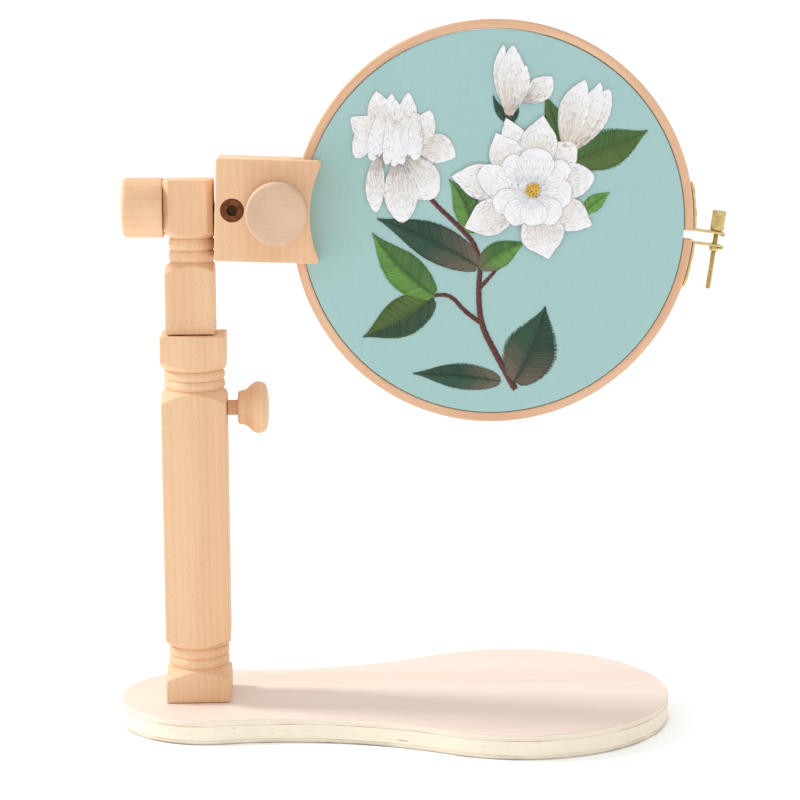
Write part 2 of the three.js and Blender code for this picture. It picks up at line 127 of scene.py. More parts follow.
class Graph:
    """The node tree of one material, with a Principled shader at its end."""

    def __init__(self, name: str) -> None:
        """Starts an empty material of that name.

        Args:
            name: The material's name.
        """
        self.material = bpy.data.materials.new(name)
        self.material.use_nodes = True
        self.tree = self.material.node_tree
        self.tree.nodes.clear()
        self.shader = self.tree.nodes.new("ShaderNodeBsdfPrincipled")
        end = self.tree.nodes.new("ShaderNodeOutputMaterial")
        self.tree.links.new(self.shader.outputs[0], end.inputs["Surface"])

    def feed(self, socket: bpy.types.NodeSocket, value: object) -> None:
        """Links a Value to a socket, or sets the socket's own number, vector or colour.

        Args:
            socket: An input socket.
            value: What it takes.
        """
        if isinstance(value, Value):
            self.tree.links.new(value.socket, socket)
        else:
            socket.default_value = value

    def add(
        self, kind: str, settings: dict | None = None, inputs: dict | None = None, output: int | str = 0
    ) -> Value:
        """Adds a node.

        Args:
            kind: The node's type.
            settings: Its own properties, set first. A colour ramp's "stops" are (place, colour) pairs.
            inputs: Values or links for its sockets, by name or number.
            output: The output that the result stands for.

        Returns:
            The chosen output as a Value.
        """
        node = self.tree.nodes.new(kind)
        for name, setting in (settings or {}).items():
            if name == "stops":
                elements = node.color_ramp.elements
                for i, (place, colour) in enumerate(setting):
                    element = elements[i] if i < 2 else elements.new(place)
                    element.position, element.color = place, colour
            else:
                setattr(node, name, setting)
        for name, value in (inputs or {}).items():
            self.feed(node.inputs[name], value)
        return Value(self, node.outputs[output])

    def finish(self, **sockets: object) -> bpy.types.Material:
        """Feeds the Principled shader; an underscore in a name stands for a space.

        Args:
            **sockets: Values, links, numbers or colours for the shader's sockets.

        Returns:
            The finished material.
        """
        for name, value in sockets.items():
            self.feed(self.shader.inputs[name.replace("_", " ")], value)
        return self.material

    def blend(self, share: object, first: object, second: object) -> Value:
        """A colour that goes from first to second as share goes from 0 to 1."""
        inputs = {0: share, 6: first, 7: second}
        return self.add("ShaderNodeMix", {"data_type": "RGBA"}, inputs, output=2)

    def step(self, value: Value, low: float, high: float) -> Value:
        """A smooth step from 0 below low to 1 above high."""
        settings = {"interpolation_type": "SMOOTHSTEP"}
        return self.add("ShaderNodeMapRange", settings, {"Value": value, "From Min": low, "From Max": high})

    def noise(self, place: Value, scale: float, detail: float = 2.0, roughness: float = 0.5) -> Value:
        """Fractal noise from 0 to 1."""
        inputs = {"Vector": place, "Scale": scale, "Detail": detail, "Roughness": roughness}
        return self.add("ShaderNodeTexNoise", None, inputs)

    def place(self, output: str, scale: tuple[float, float, float], shift: Colour = (0, 0, 0)) -> Value:
        """Object or UV coordinates, stretched by scale and then moved by shift.

        Args:
            output: Object or UV.
            scale: The stretch along each axis.
            shift: The move.

        Returns:
            The place, for a texture.
        """
        source = self.add("ShaderNodeTexCoord", output=output)
        inputs = {"Vector": source, "Scale": scale, "Location": shift}
        return self.add("ShaderNodeMapping", None, inputs)

    def part(self, vector: Value, axis: str) -> Value:
        """One coordinate of a vector."""
        return self.add("ShaderNodeSeparateXYZ", None, {0: vector}, output=axis)

    def sine(self, turn: Value) -> Value:
        """The sine of an angle in radians."""
        return self.add("ShaderNodeMath", {"operation": "SINE"}, {0: turn})

    def bump(self, height: Value, distance: float, strength: float = 1.0) -> Value:
        """A normal disturbed by a height field of that many metres."""
        inputs = {"Height": height, "Distance": distance, "Strength": strength}
        return self.add("ShaderNodeBump", None, inputs)


class Grain(Enum):
    """The way a timber's fibres run: patterns a millimetre along X, Y and Z."""

    ALONG_X = (0.05, 1.0, 1.0)
    ALONG_Y = (1.0, 0.05, 1.0)
    ALONG_Z = (1.0, 1.0, 0.05)

    @property
    def axis(self) -> str:
        """The letter of the axis that the fibres follow."""
        return self.name[-1]

    def stretch(self, along: float) -> Colour:
        """The pattern's stretch per metre, with so many patterns a millimetre along the fibres."""
        return tuple((along if share < 1 else share) / MM for share in self.value)


@dataclass(frozen=True)
class Beech:
    """Planed, unvarnished beech with faint growth rings, fine fibres and short ray flecks."""

    name: str
    grain: Grain
    pale: tuple = srgb(235, 198, 161)
    deep: tuple = srgb(221, 174, 131)
    fleck: tuple = srgb(204, 156, 118)
    ring_gap: float = 3.4  # millimetres between growth rings
    shift: Colour = (61.0, 47.0, 83.0)  # millimetres from the heart of the tree

    def material(self) -> bpy.types.Material:
        """The node material.

        Returns:
            The finished material.
        """
        graph = Graph(self.name)
        fibre_place = graph.place("Object", self.grain.stretch(0.05), self.shift)
        ring_place = graph.place("Object", self.grain.stretch(0.25), self.shift)
        fleck_place = graph.place("Object", self.grain.stretch(0.22))
        settings = {"wave_type": "RINGS", "rings_direction": self.grain.axis, "wave_profile": "SAW"}
        ring_scale = math.tau / 20 / self.ring_gap
        inputs = {"Vector": ring_place, "Scale": ring_scale, "Detail": 2.0}
        inputs.update({"Distortion": 5.0, "Detail Scale": 0.16})
        rings = graph.add("ShaderNodeTexWave", settings, inputs)
        broad = graph.noise(fibre_place, 0.05, 3.0)
        fibres = graph.noise(fibre_place, 1.5, 4.0, 0.65)
        flecks = graph.step(graph.noise(fleck_place, 1.15, 1.0), 0.64, 0.74)
        tone = broad * 0.66 + fibres * 0.28 + rings * 0.1
        ground = graph.blend(graph.step(tone, 0.28, 0.82), self.pale, self.deep)
        colour = graph.blend(flecks * 0.42, ground, self.fleck)
        height = fibres * 0.7 - flecks * 0.6
        normal = graph.bump(height, 0.05 * MM, 0.5)
        return graph.finish(
            Base_Color=colour, Roughness=0.5 + fibres * 0.2, Normal=normal, Specular_IOR_Level=0.32
        )


@dataclass(frozen=True)
class BentWood:
    """Thin split wood steamed round a former: its fibres follow the U direction of the piece's UV map."""

    name: str
    pale: tuple = srgb(232, 192, 158)
    deep: tuple = srgb(214, 164, 128)
    pore: tuple = srgb(176, 122, 88)

    def material(self) -> bpy.types.Material:
        """The node material.

        Returns:
            The finished material.
        """
        graph = Graph(self.name)
        place = graph.place("UV", (0.045 / MM, 1 / MM, 1 / MM))
        broad = graph.noise(place, 0.25, 2.0)
        fibres = graph.noise(place, 2.2, 3.0, 0.7)
        pores = graph.step(graph.noise(graph.place("UV", (0.3 / MM, 1.3 / MM, 1.0)), 1.6, 1.0), 0.66, 0.74)
        ground = graph.blend(graph.step(broad * 0.6 + fibres * 0.4, 0.3, 0.7), self.pale, self.deep)
        colour = graph.blend(pores * 0.55, ground, self.pore)
        normal = graph.bump(fibres - pores * 0.5, 0.05 * MM, 0.7)
        return graph.finish(
            Base_Color=colour, Roughness=0.42 + fibres * 0.18, Normal=normal, Coat_Weight=0.08
        )


@dataclass(frozen=True)
class Plywood:
    """Pale plywood: a sanded face veneer, and the edges of its plies stacked by height, with painted shade
    darkening the bottom rim of the edge.
    """

    name: str
    thickness: float
    face: tuple = srgb(234, 219, 207)
    face_deep: tuple = srgb(226, 206, 192)

    def material(self) -> bpy.types.Material:
        """The node material.

        Returns:
            The finished material.
        """
        graph = Graph(self.name)
        along = graph.place("Object", (0.04 / MM, 1 / MM, 1 / MM))
        fine = graph.noise(along, 1.3, 3.0, 0.6)
        broad = graph.noise(along, 0.045, 3.0)
        face = graph.blend(graph.step(broad * 0.6 + fine * 0.4, 0.3, 0.75), self.face, self.face_deep)
        wander = graph.noise(graph.place("Object", (0.05 / MM, 0.05 / MM, 0.4 / MM)), 1.0, 2.0)
        height = graph.part(graph.add("ShaderNodeTexCoord", output="Object"), "Z")
        level = height * (1 / self.thickness) + (wander - 0.5) * 0.05
        core = srgb(240, 232, 212)
        stops = (
            # the lowest stops are painted shade: the edge darkens towards its bottom, where the board meets
            # the table
            (0.00, srgb(150, 138, 124)),
            (0.05, srgb(214, 200, 180)),
            (0.13, srgb(232, 218, 198)),
            (0.155, srgb(196, 158, 124)),
            (0.185, core),
            (0.735, core),
            (0.755, srgb(160, 130, 104)),
            (0.78, srgb(232, 216, 194)),
            (1.00, srgb(242, 228, 212)),
        )
        plies = graph.add("ShaderNodeValToRGB", {"stops": stops}, {0: level})
        gaps = graph.step(
            graph.noise(graph.place("Object", (0.045 / MM, 0.045 / MM, 0.2 / MM)), 1.0, 2.0), 0.4, 0.56
        )
        lines = graph.blend(gaps * 0.55, plies, core)
        speckle = graph.noise(graph.place("Object", (0.12 / MM, 0.12 / MM, 1.5 / MM)), 1.0, 3.0, 0.7)
        voids = graph.step(
            graph.noise(graph.place("Object", (0.07 / MM, 0.07 / MM, 0.5 / MM)), 1.3, 0.0), 0.8, 0.86
        )
        streaked = graph.blend(graph.step(speckle, 0.45, 0.75) * 0.45, lines, srgb(214, 196, 168))
        edge = graph.blend(voids * 0.7, streaked, srgb(150, 122, 96))
        top = graph.step(height, self.thickness - 0.5 * MM, self.thickness - 0.15 * MM)
        colour = graph.blend(top, edge, face)
        normal = graph.bump(fine * 0.6 + speckle * 0.4, 0.07 * MM, 0.6)
        return graph.finish(
            Base_Color=colour, Roughness=0.52 + fine * 0.16, Normal=normal, Specular_IOR_Level=0.3
        )


@dataclass(frozen=True)
class Metal:
    """A worn metal: polished on its lands, duller and darker in its grime."""

    name: str
    bright: tuple
    dull: tuple
    polish: float
    grime_scale: float = 420.0

    def material(self) -> bpy.types.Material:
        """The node material.

        Returns:
            The finished material.
        """
        graph = Graph(self.name)
        place = graph.place("Object", (1.0, 1.0, 1.0))
        grime = graph.noise(place, self.grime_scale, 4.0, 0.6)
        wear = graph.step(grime, 0.38, 0.66)
        colour = graph.blend(wear, self.dull, self.bright)
        normal = graph.bump(grime, 0.01 * MM, 0.4)
        return graph.finish(
            Base_Color=colour, Metallic=1.0, Roughness=self.polish + 0.18 - wear * 0.14, Normal=normal
        )


@dataclass(frozen=True)
class PlainWeave:
    """Evenly woven cotton: warp and weft ribs at right angles, with thicker and thinner yarns."""

    name: str
    yarn_gap: float = 0.42  # millimetres between neighbouring yarns
    ground: tuple = srgb(172, 205, 202)
    deep: tuple = srgb(158, 194, 192)
    slub: tuple = srgb(182, 212, 208)

    def material(self) -> bpy.types.Material:
        """The node material.

        Returns:
            The finished material.
        """
        graph = Graph(self.name)
        place = graph.place("UV", (1 / MM, 1 / MM, 1 / MM))
        warp, weft = (graph.sine(graph.part(place, axis) * (math.pi / self.yarn_gap)) for axis in ("X", "Y"))
        crossing = warp * weft
        warp_slub = graph.noise(graph.place("UV", (2.2 / MM, 0.05 / MM, 1.0)), 1.0, 2.0)
        weft_slub = graph.noise(graph.place("UV", (0.05 / MM, 2.2 / MM, 1.0)), 1.0, 2.0)
        cloud = graph.noise(place, 0.03, 3.0)
        rib = graph.step(crossing, -0.6, 0.6)
        ground = graph.blend(rib * 0.45 + cloud * 0.4, self.deep, self.ground)
        slubs = graph.step(warp_slub * 0.5 + weft_slub * 0.5, 0.45, 0.72)
        colour = graph.blend(slubs * 0.35, ground, self.slub)
        height = rib * 0.6 + slubs * 0.4
        normal = graph.bump(height, 0.07 * MM, 0.8)
        return graph.finish(
            Base_Color=colour, Roughness=0.86, Normal=normal, Sheen_Weight=0.18, Specular_IOR_Level=0.2
        )


@dataclass(frozen=True)
class StrandedThread:
    """Divisible embroidery cotton: its colour comes from the tint attribute, its twist from the UV map."""

    name: str
    twist_gap: float = 0.55  # millimetres along the thread for one turn of its strands

    def material(self) -> bpy.types.Material:
        """The node material.

        Returns:
            The finished material.
        """
        graph = Graph(self.name)
        tint = graph.add("ShaderNodeAttribute", {"attribute_name": "tint"}, output="Color")
        place = graph.place("UV", (1 / MM, 1 / MM, 1.0))
        slanted = graph.part(place, "X") + graph.part(place, "Y") * 1.2
        twist = graph.sine(slanted * (math.tau / self.twist_gap))
        fuzz = graph.noise(place, 3.0, 2.0)
        strand = graph.step(twist + fuzz * 0.6, -0.8, 0.9)
        multiply = {"data_type": "RGBA", "blend_type": "MULTIPLY"}
        inputs = {0: 0.3 - strand * 0.3, 6: tint, 7: (0.6, 0.59, 0.6, 1.0)}
        shade = graph.add("ShaderNodeMix", multiply, inputs, output=2)
        normal = graph.bump(strand, 0.05 * MM, 0.6)
        return graph.finish(Base_Color=shade, Roughness=0.5 + fuzz * 0.15, Normal=normal, Sheen_Weight=0.15)


# ---------- surfaces ----------


def rounded_path(controls: Array, reaches: Array, steps: int = 5) -> Array:
    """Rounds the corners of a path.

    A corner P with a reach becomes the parabola (1-t)^2 A + 2t(1-t) P + t^2 B, where A and B lie that far
    from P along its two legs, and never past their middles. A corner with no reach stays one point.

    Args:
        controls: The corners, as [..., corners, dimensions].
        reaches: Each corner's reach; the two ends of an open path have none.
        steps: Points on each rounded corner.

    Returns:
        The points, as [..., points, dimensions].
    """
    count = controls.shape[-2]
    t = np.linspace(0, 1, steps)[:, None]
    parts = []
    for i, reach in enumerate(reaches):
        here = controls[..., i, None, :]
        if reach <= 0:
            parts.append(here)
            continue
        ends = []
        for other in ((i - 1) % count, (i + 1) % count):
            leg = controls[..., other, None, :] - here
            length = np.linalg.norm(leg, axis=-1, keepdims=True)
            ends.append(here + leg * np.minimum(reach / np.maximum(length, 1e-9), 0.48))
        parts.append((1 - t) ** 2 * ends[0] + 2 * t * (1 - t) * here + t**2 * ends[1])
    return np.concatenate(parts, axis=-2)


def profile(*corners: tuple[float, float, float], steps: int = 5) -> Array:
    """A rounded path from (radius, height, reach) corners."""
    table = np.array(corners, float)
    return rounded_path(table[:, :2], table[:, 2], steps)


def arc(centre: Point, radius: float, start: float, end: float, count: int) -> Array:
    """Points on a circle: centre + radius (cos a, sin a), with a from start to end in radians."""
    turn = np.linspace(start, end, count)
    return np.stack((centre[0] + radius * np.cos(turn), centre[1] + radius * np.sin(turn)), -1)


def joined(*paths: Array) -> Array:
    """Paths put end to end as one closed outline, without its repeated points.

    Args:
        *paths: Rows of points, in order.

    Returns:
        [points, 2].
    """
    points = np.concatenate(paths)
    gaps = np.linalg.norm(points - np.roll(points, 1, axis=0), axis=1)
    return points[gaps > 1e-7]


def outward(outline: Array) -> Array:
    """The mitred outward normals of a closed anticlockwise outline.

    Each is the sum of the unit normals of the two edges at a point, scaled so that a shift along it moves
    both edges by the same distance.

    Args:
        outline: [points, 2].

    Returns:
        A normal for each point.
    """
    edge = np.roll(outline, -1, axis=0) - outline
    edge /= np.linalg.norm(edge, axis=1, keepdims=True)
    normal = np.stack((edge[:, 1], -edge[:, 0]), -1)
    both = normal + np.roll(normal, 1, axis=0)
    return both * 2 / np.maximum((both**2).sum(1, keepdims=True), 1.0)


def slab(corners: Array, reaches: Array, section: Array) -> Array:
    """A plate in X and Z.

    Its corners are shifted inwards by each inset, rounded, and set at a depth along Y.

    Args:
        corners: [points, 2], anticlockwise.
        reaches: Each corner's reach, which an inset uses up.
        section: [rows, 2] of inset and depth.

    Returns:
        A [rows, points, 3] grid.
    """
    away = outward(corners)
    rows = []
    for inset, depth in section:
        left = np.where(reaches > 0, np.maximum(reaches - inset, 0.12 * MM), 0.0)
        row = rounded_path(corners - away * inset, left, 6)
        rows.append(np.stack((row[:, 0], np.full(len(row), depth), row[:, 1]), -1))
    return np.stack(rows)


def edge_section(low: float, high: float, edge: float) -> Array:
    """A plate's section from one face to the other, with both rims rounded by that much.

    Args:
        low: The depth of one face.
        high: The depth of the other.
        edge: How much each rim is rounded.

    Returns:
        [rows, 2] of inset and depth, for slab.
    """
    return profile(
        (edge + 0.25 * MM, low, 0), (0, low, edge), (0, high, edge), (edge + 0.25 * MM, high, 0), steps=6
    )


def across(direction: Array) -> tuple[Array, Array, Array]:
    """A unit direction with two unit vectors square to it, as a right-handed set.

    Args:
        direction: Any vector but zero.

    Returns:
        The unit direction, then the two square to it.
    """
    along = np.asarray(direction, float) / np.linalg.norm(direction)
    helper = np.array((0.0, 1.0, 0.0)) if abs(along[1]) < 0.9 else np.array((0.0, 0.0, 1.0))
    side = np.cross(helper, along)
    side /= np.linalg.norm(side)
    return along, side, np.cross(along, side)


def revolve(
    radii: Array, heights: Array, turns: Array, direction: Colour = (0, 0, 1), start: Colour = (0, 0, 0)
) -> Array:
    """A turned shape: start + height * axis + radius * (cos turn * side + sin turn * other side).

    Args:
        radii: [rows] or [rows, columns].
        heights: As radii.
        turns: The angle of each column, in radians.
        direction: The axis.
        start: The point of the axis at height 0.

    Returns:
        A [rows, columns, 3] grid.
    """
    along, side, other = across(np.array(direction, float))
    if abs(along[2]) > 0.999:
        side, other = np.array((1.0, 0, 0)), np.array((0, 1.0, 0)) * np.sign(along[2])
    radius = np.broadcast_to(radii if radii.ndim == 2 else radii[:, None], (len(radii), len(turns)))
    height = np.broadcast_to(heights if heights.ndim == 2 else heights[:, None], radius.shape)
    rim = np.cos(turns)[:, None] * side + np.sin(turns)[:, None] * other
    return np.array(start, float) + height[..., None] * along + radius[..., None] * rim


def whole_turn(count: int) -> Array:
    """Equal steps round a circle."""
    return np.linspace(0, math.tau, count, endpoint=False)


def lathe(path: Array, direction: Colour, start: Colour, count: int = 72) -> Array:
    """A round shape turned from a path of radius and height."""
    return revolve(path[:, 0], path[:, 1], whole_turn(count), direction, start)


def radial(outline: Array, turns: Array) -> Array:
    """The distance from the origin to an outline in each direction, between finely spaced points on it.

    Args:
        outline: [points, 2] round the origin.
        turns: Directions, in radians.

    Returns:
        A distance for each direction.
    """
    share = np.linspace(0, 1, 60, endpoint=False)[None, :, None]
    fine = (outline[:, None] * (1 - share) + np.roll(outline, -1, axis=0)[:, None] * share).reshape(-1, 2)
    angle = np.arctan2(fine[:, 1], fine[:, 0]) % math.tau
    order = np.argsort(angle)
    return np.interp(turns, angle[order], np.linalg.norm(fine, axis=1)[order], period=math.tau)


def skin(
    stations: Stations, turns: Array, direction: Colour = (0, 0, 1), start: Colour = (0, 0, 0)
) -> Array:
    """A shape that is turned column by column, from its stations of radius, height and corner reach.

    Args:
        stations: Each holds a radius and a height for every column, and one reach.
        turns: The angle of each column, in radians.
        direction: The axis.
        start: The point of the axis at height 0.

    Returns:
        A [rows, columns, 3] grid.
    """
    controls = np.stack([np.stack((radius, height), -1) for radius, height, _ in stations], 1)
    path = rounded_path(controls, np.array([reach for _, _, reach in stations]), 4)
    return revolve(path[..., 0].T, path[..., 1].T, turns, direction, start)


def swept(path: Array, section: Array, flat: Array, closed: bool = False) -> Array:
    """A section carried along a path in the X and Z plane of the hoop.

    Args:
        path: [rows, 2] in X and Z.
        section: [rows or 1, columns, 2]: the distance out from the path, and the depth along Y.
        flat: [rows] scale of the section's distance.
        closed: Whether the path joins up.

    Returns:
        A [rows, columns, 3] grid.
    """
    if closed:
        edge = np.roll(path, -1, axis=0) - np.roll(path, 1, axis=0)
    else:
        edge = np.gradient(path, axis=0)
    edge /= np.linalg.norm(edge, axis=1, keepdims=True)
    out = np.stack((edge[:, 1], -edge[:, 0]), -1)
    away = section[..., 0] * flat[:, None]
    x = path[:, None, 0] + out[:, None, 0] * away
    z = path[:, None, 1] + out[:, None, 1] * away
    return np.stack((x, np.broadcast_to(section[..., 1], x.shape), z), -1)


def rounded_box(wide: float, deep: float, edge: float, steps: int = 5) -> Array:
    """The section of a bar: a rectangle with rounded corners, anticlockwise.

    Args:
        wide: Its size along the first axis.
        deep: Its size along the second.
        edge: How much each corner is rounded.
        steps: Points on each corner.

    Returns:
        [points, 2].
    """
    half_w, half_d = wide / 2, deep / 2
    corners = np.array([(half_w, -half_d), (half_w, half_d), (-half_w, half_d), (-half_w, -half_d)])
    return rounded_path(corners, np.full(4, edge), steps)


@dataclass(frozen=True)
class Seat:
    """Where a sub-assembly's own axes sit in the frame: its origin, and its droop about Y."""

    origin: Colour
    droop: float

    def place(self, points: Array) -> Array:
        """Turns +X down towards -Z by the droop, then moves to the origin.

        Args:
            points: [..., 3] in the sub-assembly's own axes.

        Returns:
            The same points in the frame.
        """
        c, s = math.cos(self.droop), math.sin(self.droop)
        x, y, z = points[..., 0], points[..., 1], points[..., 2]
        return np.stack((x * c + z * s, y, z * c - x * s), -1) + np.array(self.origin)


class Shell:
    """Collects grids of points into the mesh of one piece."""

    def __init__(self, name: str) -> None:
        """Starts an empty shell of that name.

        Args:
            name: The piece's name.
        """
        self.name = name
        self.points: list[Array] = []
        self.tints: list[Array] = []
        self.faces: list[Array] = []
        self.maps: list[Array] = []
        self.count = 0

    @staticmethod
    def wrap(grids: Array, loop: bool) -> Array:
        """Grids with their first column, and in a loop their first row, repeated at the end."""
        wrapped = np.concatenate((grids, grids[:, :, :1]), axis=2)
        return np.concatenate((wrapped, wrapped[:, :1]), axis=1) if loop else wrapped

    @staticmethod
    def cells(grids: Array) -> tuple[Array, ...]:
        """The four corners of every cell, in order round it."""
        return grids[:, :-1, :-1], grids[:, :-1, 1:], grids[:, 1:, 1:], grids[:, 1:, :-1]

    def keep(self, faces: Array, maps: Array, outwards: bool) -> None:
        """Keeps faces, turned round where they point inwards."""
        self.faces.append((faces if outwards else faces[:, ::-1]) + self.count)
        self.maps.append(maps if outwards else maps[:, ::-1])

    def add(
        self, grids: Array, tint: Array | None = None, loop: bool = False, uv: Array | None = None
    ) -> Shell:
        """Adds tubes: grids whose columns close, and whose rows close too or are capped at both ends.

        The volume that the faces enclose says which way they point: a negative one turns them round.

        Args:
            grids: [rows, columns, 3], or [tubes, rows, columns, 3] for many alike.
            tint: A colour for each point, as grids.
            loop: Whether the last row joins the first, in place of the caps.
            uv: The UV of each point, as grids with 2 values; otherwise U and V are lengths in metres
                along the rows and round the columns.

        Returns:
            The shell itself.
        """
        grids = grids if grids.ndim == 4 else grids[None]
        tubes, rows, columns, _ = grids.shape
        number = np.arange(tubes * rows * columns).reshape(tubes, rows, columns)
        wrapped = self.wrap(number, loop)
        quads = np.stack(self.cells(wrapped), -1)
        along = np.linalg.norm(np.roll(grids, -1, axis=1) - grids, axis=-1).mean(2)
        round_it = np.linalg.norm(np.roll(grids, -1, axis=2) - grids, axis=-1).mean(1)
        u = np.concatenate((np.zeros((tubes, 1)), np.cumsum(along, axis=1)), axis=1)[:, : wrapped.shape[1]]
        v = np.concatenate((np.zeros((tubes, 1)), np.cumsum(round_it, axis=1)), axis=1)
        field_uv = np.stack(np.broadcast_arrays(u[:, :, None], v[:, None, :]), -1)
        if uv is not None:
            field_uv = self.wrap(uv.reshape(tubes, rows, columns, 2), loop)
        quad_uv = np.stack(self.cells(field_uv), -2)
        points = grids.reshape(-1, 3)
        faces = [(quads.reshape(-1, 4), quad_uv.reshape(-1, 4, 2))]
        if not loop:
            faces.append((number[:, 0, ::-1], field_uv[:, 0, columns - 1 :: -1]))
            faces.append((number[:, -1], field_uv[:, -1, :columns]))
        volume = 0.0
        for ring, _ in faces:
            fan = points[ring] - points.mean(0)
            for i in range(1, ring.shape[1] - 1):
                volume += float((fan[:, 0] * np.cross(fan[:, i], fan[:, i + 1])).sum())
        for ring, maps in faces:
            self.keep(ring, maps, volume > 0)
        self.points.append(points)
        self.tints.append(np.ones((len(points), 3)) if tint is None else tint.reshape(-1, 3))
        self.count += len(points)
        return self

    def mesh(self, smooth_below: float = 35.0) -> bpy.types.Mesh:
        """The mesh, shaded smooth except at edges that bend more than so many degrees.

        Args:
            smooth_below: That limit, in degrees.

        Returns:
            The mesh, with its UV map and tints.
        """
        mesh = bpy.data.meshes.new(self.name)
        points = np.concatenate(self.points)
        mesh.vertices.add(len(points))
        mesh.vertices.foreach_set("co", points.astype(np.float32).ravel())
        corners = np.concatenate([f.ravel() for f in self.faces])
        sizes = np.concatenate([np.full(len(f), f.shape[1]) for f in self.faces])
        mesh.loops.add(len(corners))
        mesh.loops.foreach_set("vertex_index", corners.astype(np.int32))
        mesh.polygons.add(len(sizes))
        mesh.polygons.foreach_set(
            "loop_start", np.concatenate(([0], np.cumsum(sizes)[:-1])).astype(np.int32)
        )
        mesh.update(calc_edges=True)
        layer = mesh.uv_layers.new(name="UVMap")
        layer.data.foreach_set(
            "uv", np.concatenate([m.reshape(-1, 2) for m in self.maps]).astype(np.float32).ravel()
        )
        tint = mesh.attributes.new("tint", "FLOAT_COLOR", "POINT")
        rgba = np.concatenate((np.concatenate(self.tints), np.ones((len(points), 1))), axis=1)
        tint.data.foreach_set("color", rgba.astype(np.float32).ravel())
        mesh.polygons.foreach_set("use_smooth", np.ones(len(sizes), bool))
        mesh.set_sharp_from_angle(angle=math.radians(smooth_below))
        return mesh

    def piece(self, smooth_below: float = 35.0) -> bpy.types.Object:
        """The shell as an object of the scene.

        Args:
            smooth_below: Edges that bend more than this many degrees stay sharp.

        Returns:
            The object.
        """
        made = bpy.data.objects.new(self.name, self.mesh(smooth_below))
        bpy.context.scene.collection.objects.link(made)
        return made


def combine(piece: bpy.types.Object, others: list[bpy.types.Object], operation: str = "DIFFERENCE") -> None:
    """Cuts other shapes out of a piece, or joins them to it, and removes them.

    Args:
        piece: The object whose mesh changes.
        others: Closed shapes.
        operation: A Boolean modifier's operation.
    """
    for other in others:
        cut = piece.modifiers.new("combine", "BOOLEAN")
        cut.operation, cut.object, cut.solver = operation, other, "EXACT"
    evaluated = piece.evaluated_get(bpy.context.evaluated_depsgraph_get())
    rough, piece.data = piece.data, bpy.data.meshes.new_from_object(evaluated)
    piece.modifiers.clear()
    name = rough.name
    bpy.data.meshes.remove(rough)
    piece.data.name = name
    piece.data.set_sharp_from_angle(angle=math.radians(35.0))
    for other in others:
        bpy.data.objects.remove(other)


def plug(path: Array, direction: Colour, start: Colour, count: int = 48) -> bpy.types.Object:
    """A turned shape for cutting a hole with."""
    return Shell("cutter").add(lathe(path, direction, start, count)).piece()


def drill(radius: float, start: Colour, end: Colour, count: int = 48) -> bpy.types.Object:
    """A round bar from start to end, for drilling a hole with.

    Args:
        radius: Of the hole.
        start: One end of its axis.
        end: The other end.
        count: Points round it.

    Returns:
        The bar, for combine.
    """
    direction = np.array(end) - np.array(start)
    path = np.array([(radius, 0.0), (radius, float(np.linalg.norm(direction)))])
    return plug(path, tuple(direction), start, count)


def settle(piece: bpy.types.Object, finish: object, body: str, slot: str, *nodes: str) -> bpy.types.Object:
    """Gives a piece its material and its body, and hides the CAD nodes it stands for.

    Args:
        piece: The finished piece.
        finish: A finish, or a material made already.
        body: The CAD body it rides on.
        slot: The record's material slot; not used.
        *nodes: The CAD nodes that it replaces.

    Returns:
        The piece.
    """
    material = finish if isinstance(finish, bpy.types.Material) else finish.material()
    piece.data.materials.clear()
    piece.data.materials.append(material)
    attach(piece, body)
    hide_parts(*nodes)
    LOG.info("%s: %d faces on body %s", piece.name, len(piece.data.polygons), body)
    return piece


def threaded_rod(
    radius: float, length: float, pitch: float, columns: int = 24
) -> tuple[Array, Array, Array]:
    """A screw thread.

    The radius falls by a triangle wave of (height / pitch - turn), and by a chamfer at each end.

    Args:
        radius: Over the crests.
        length: From end to end.
        pitch: From crest to crest.
        columns: Points round it.

    Returns:
        Radii, heights and turns, for revolve.
    """
    turns = whole_turn(columns)
    heights = np.linspace(0, length, max(2, int(length / pitch * 6)))
    phase = (heights[:, None] / pitch - turns / math.tau) % 1
    depth = 0.6 * pitch * np.abs(2 * phase - 1)
    to_end = np.minimum(heights, length - heights)[:, None]
    taper = np.maximum(0, pitch - to_end) * 0.5
    return radius - np.maximum(depth, taper), np.broadcast_to(heights[:, None], phase.shape), turns


# ---------- sub-assemblies ----------


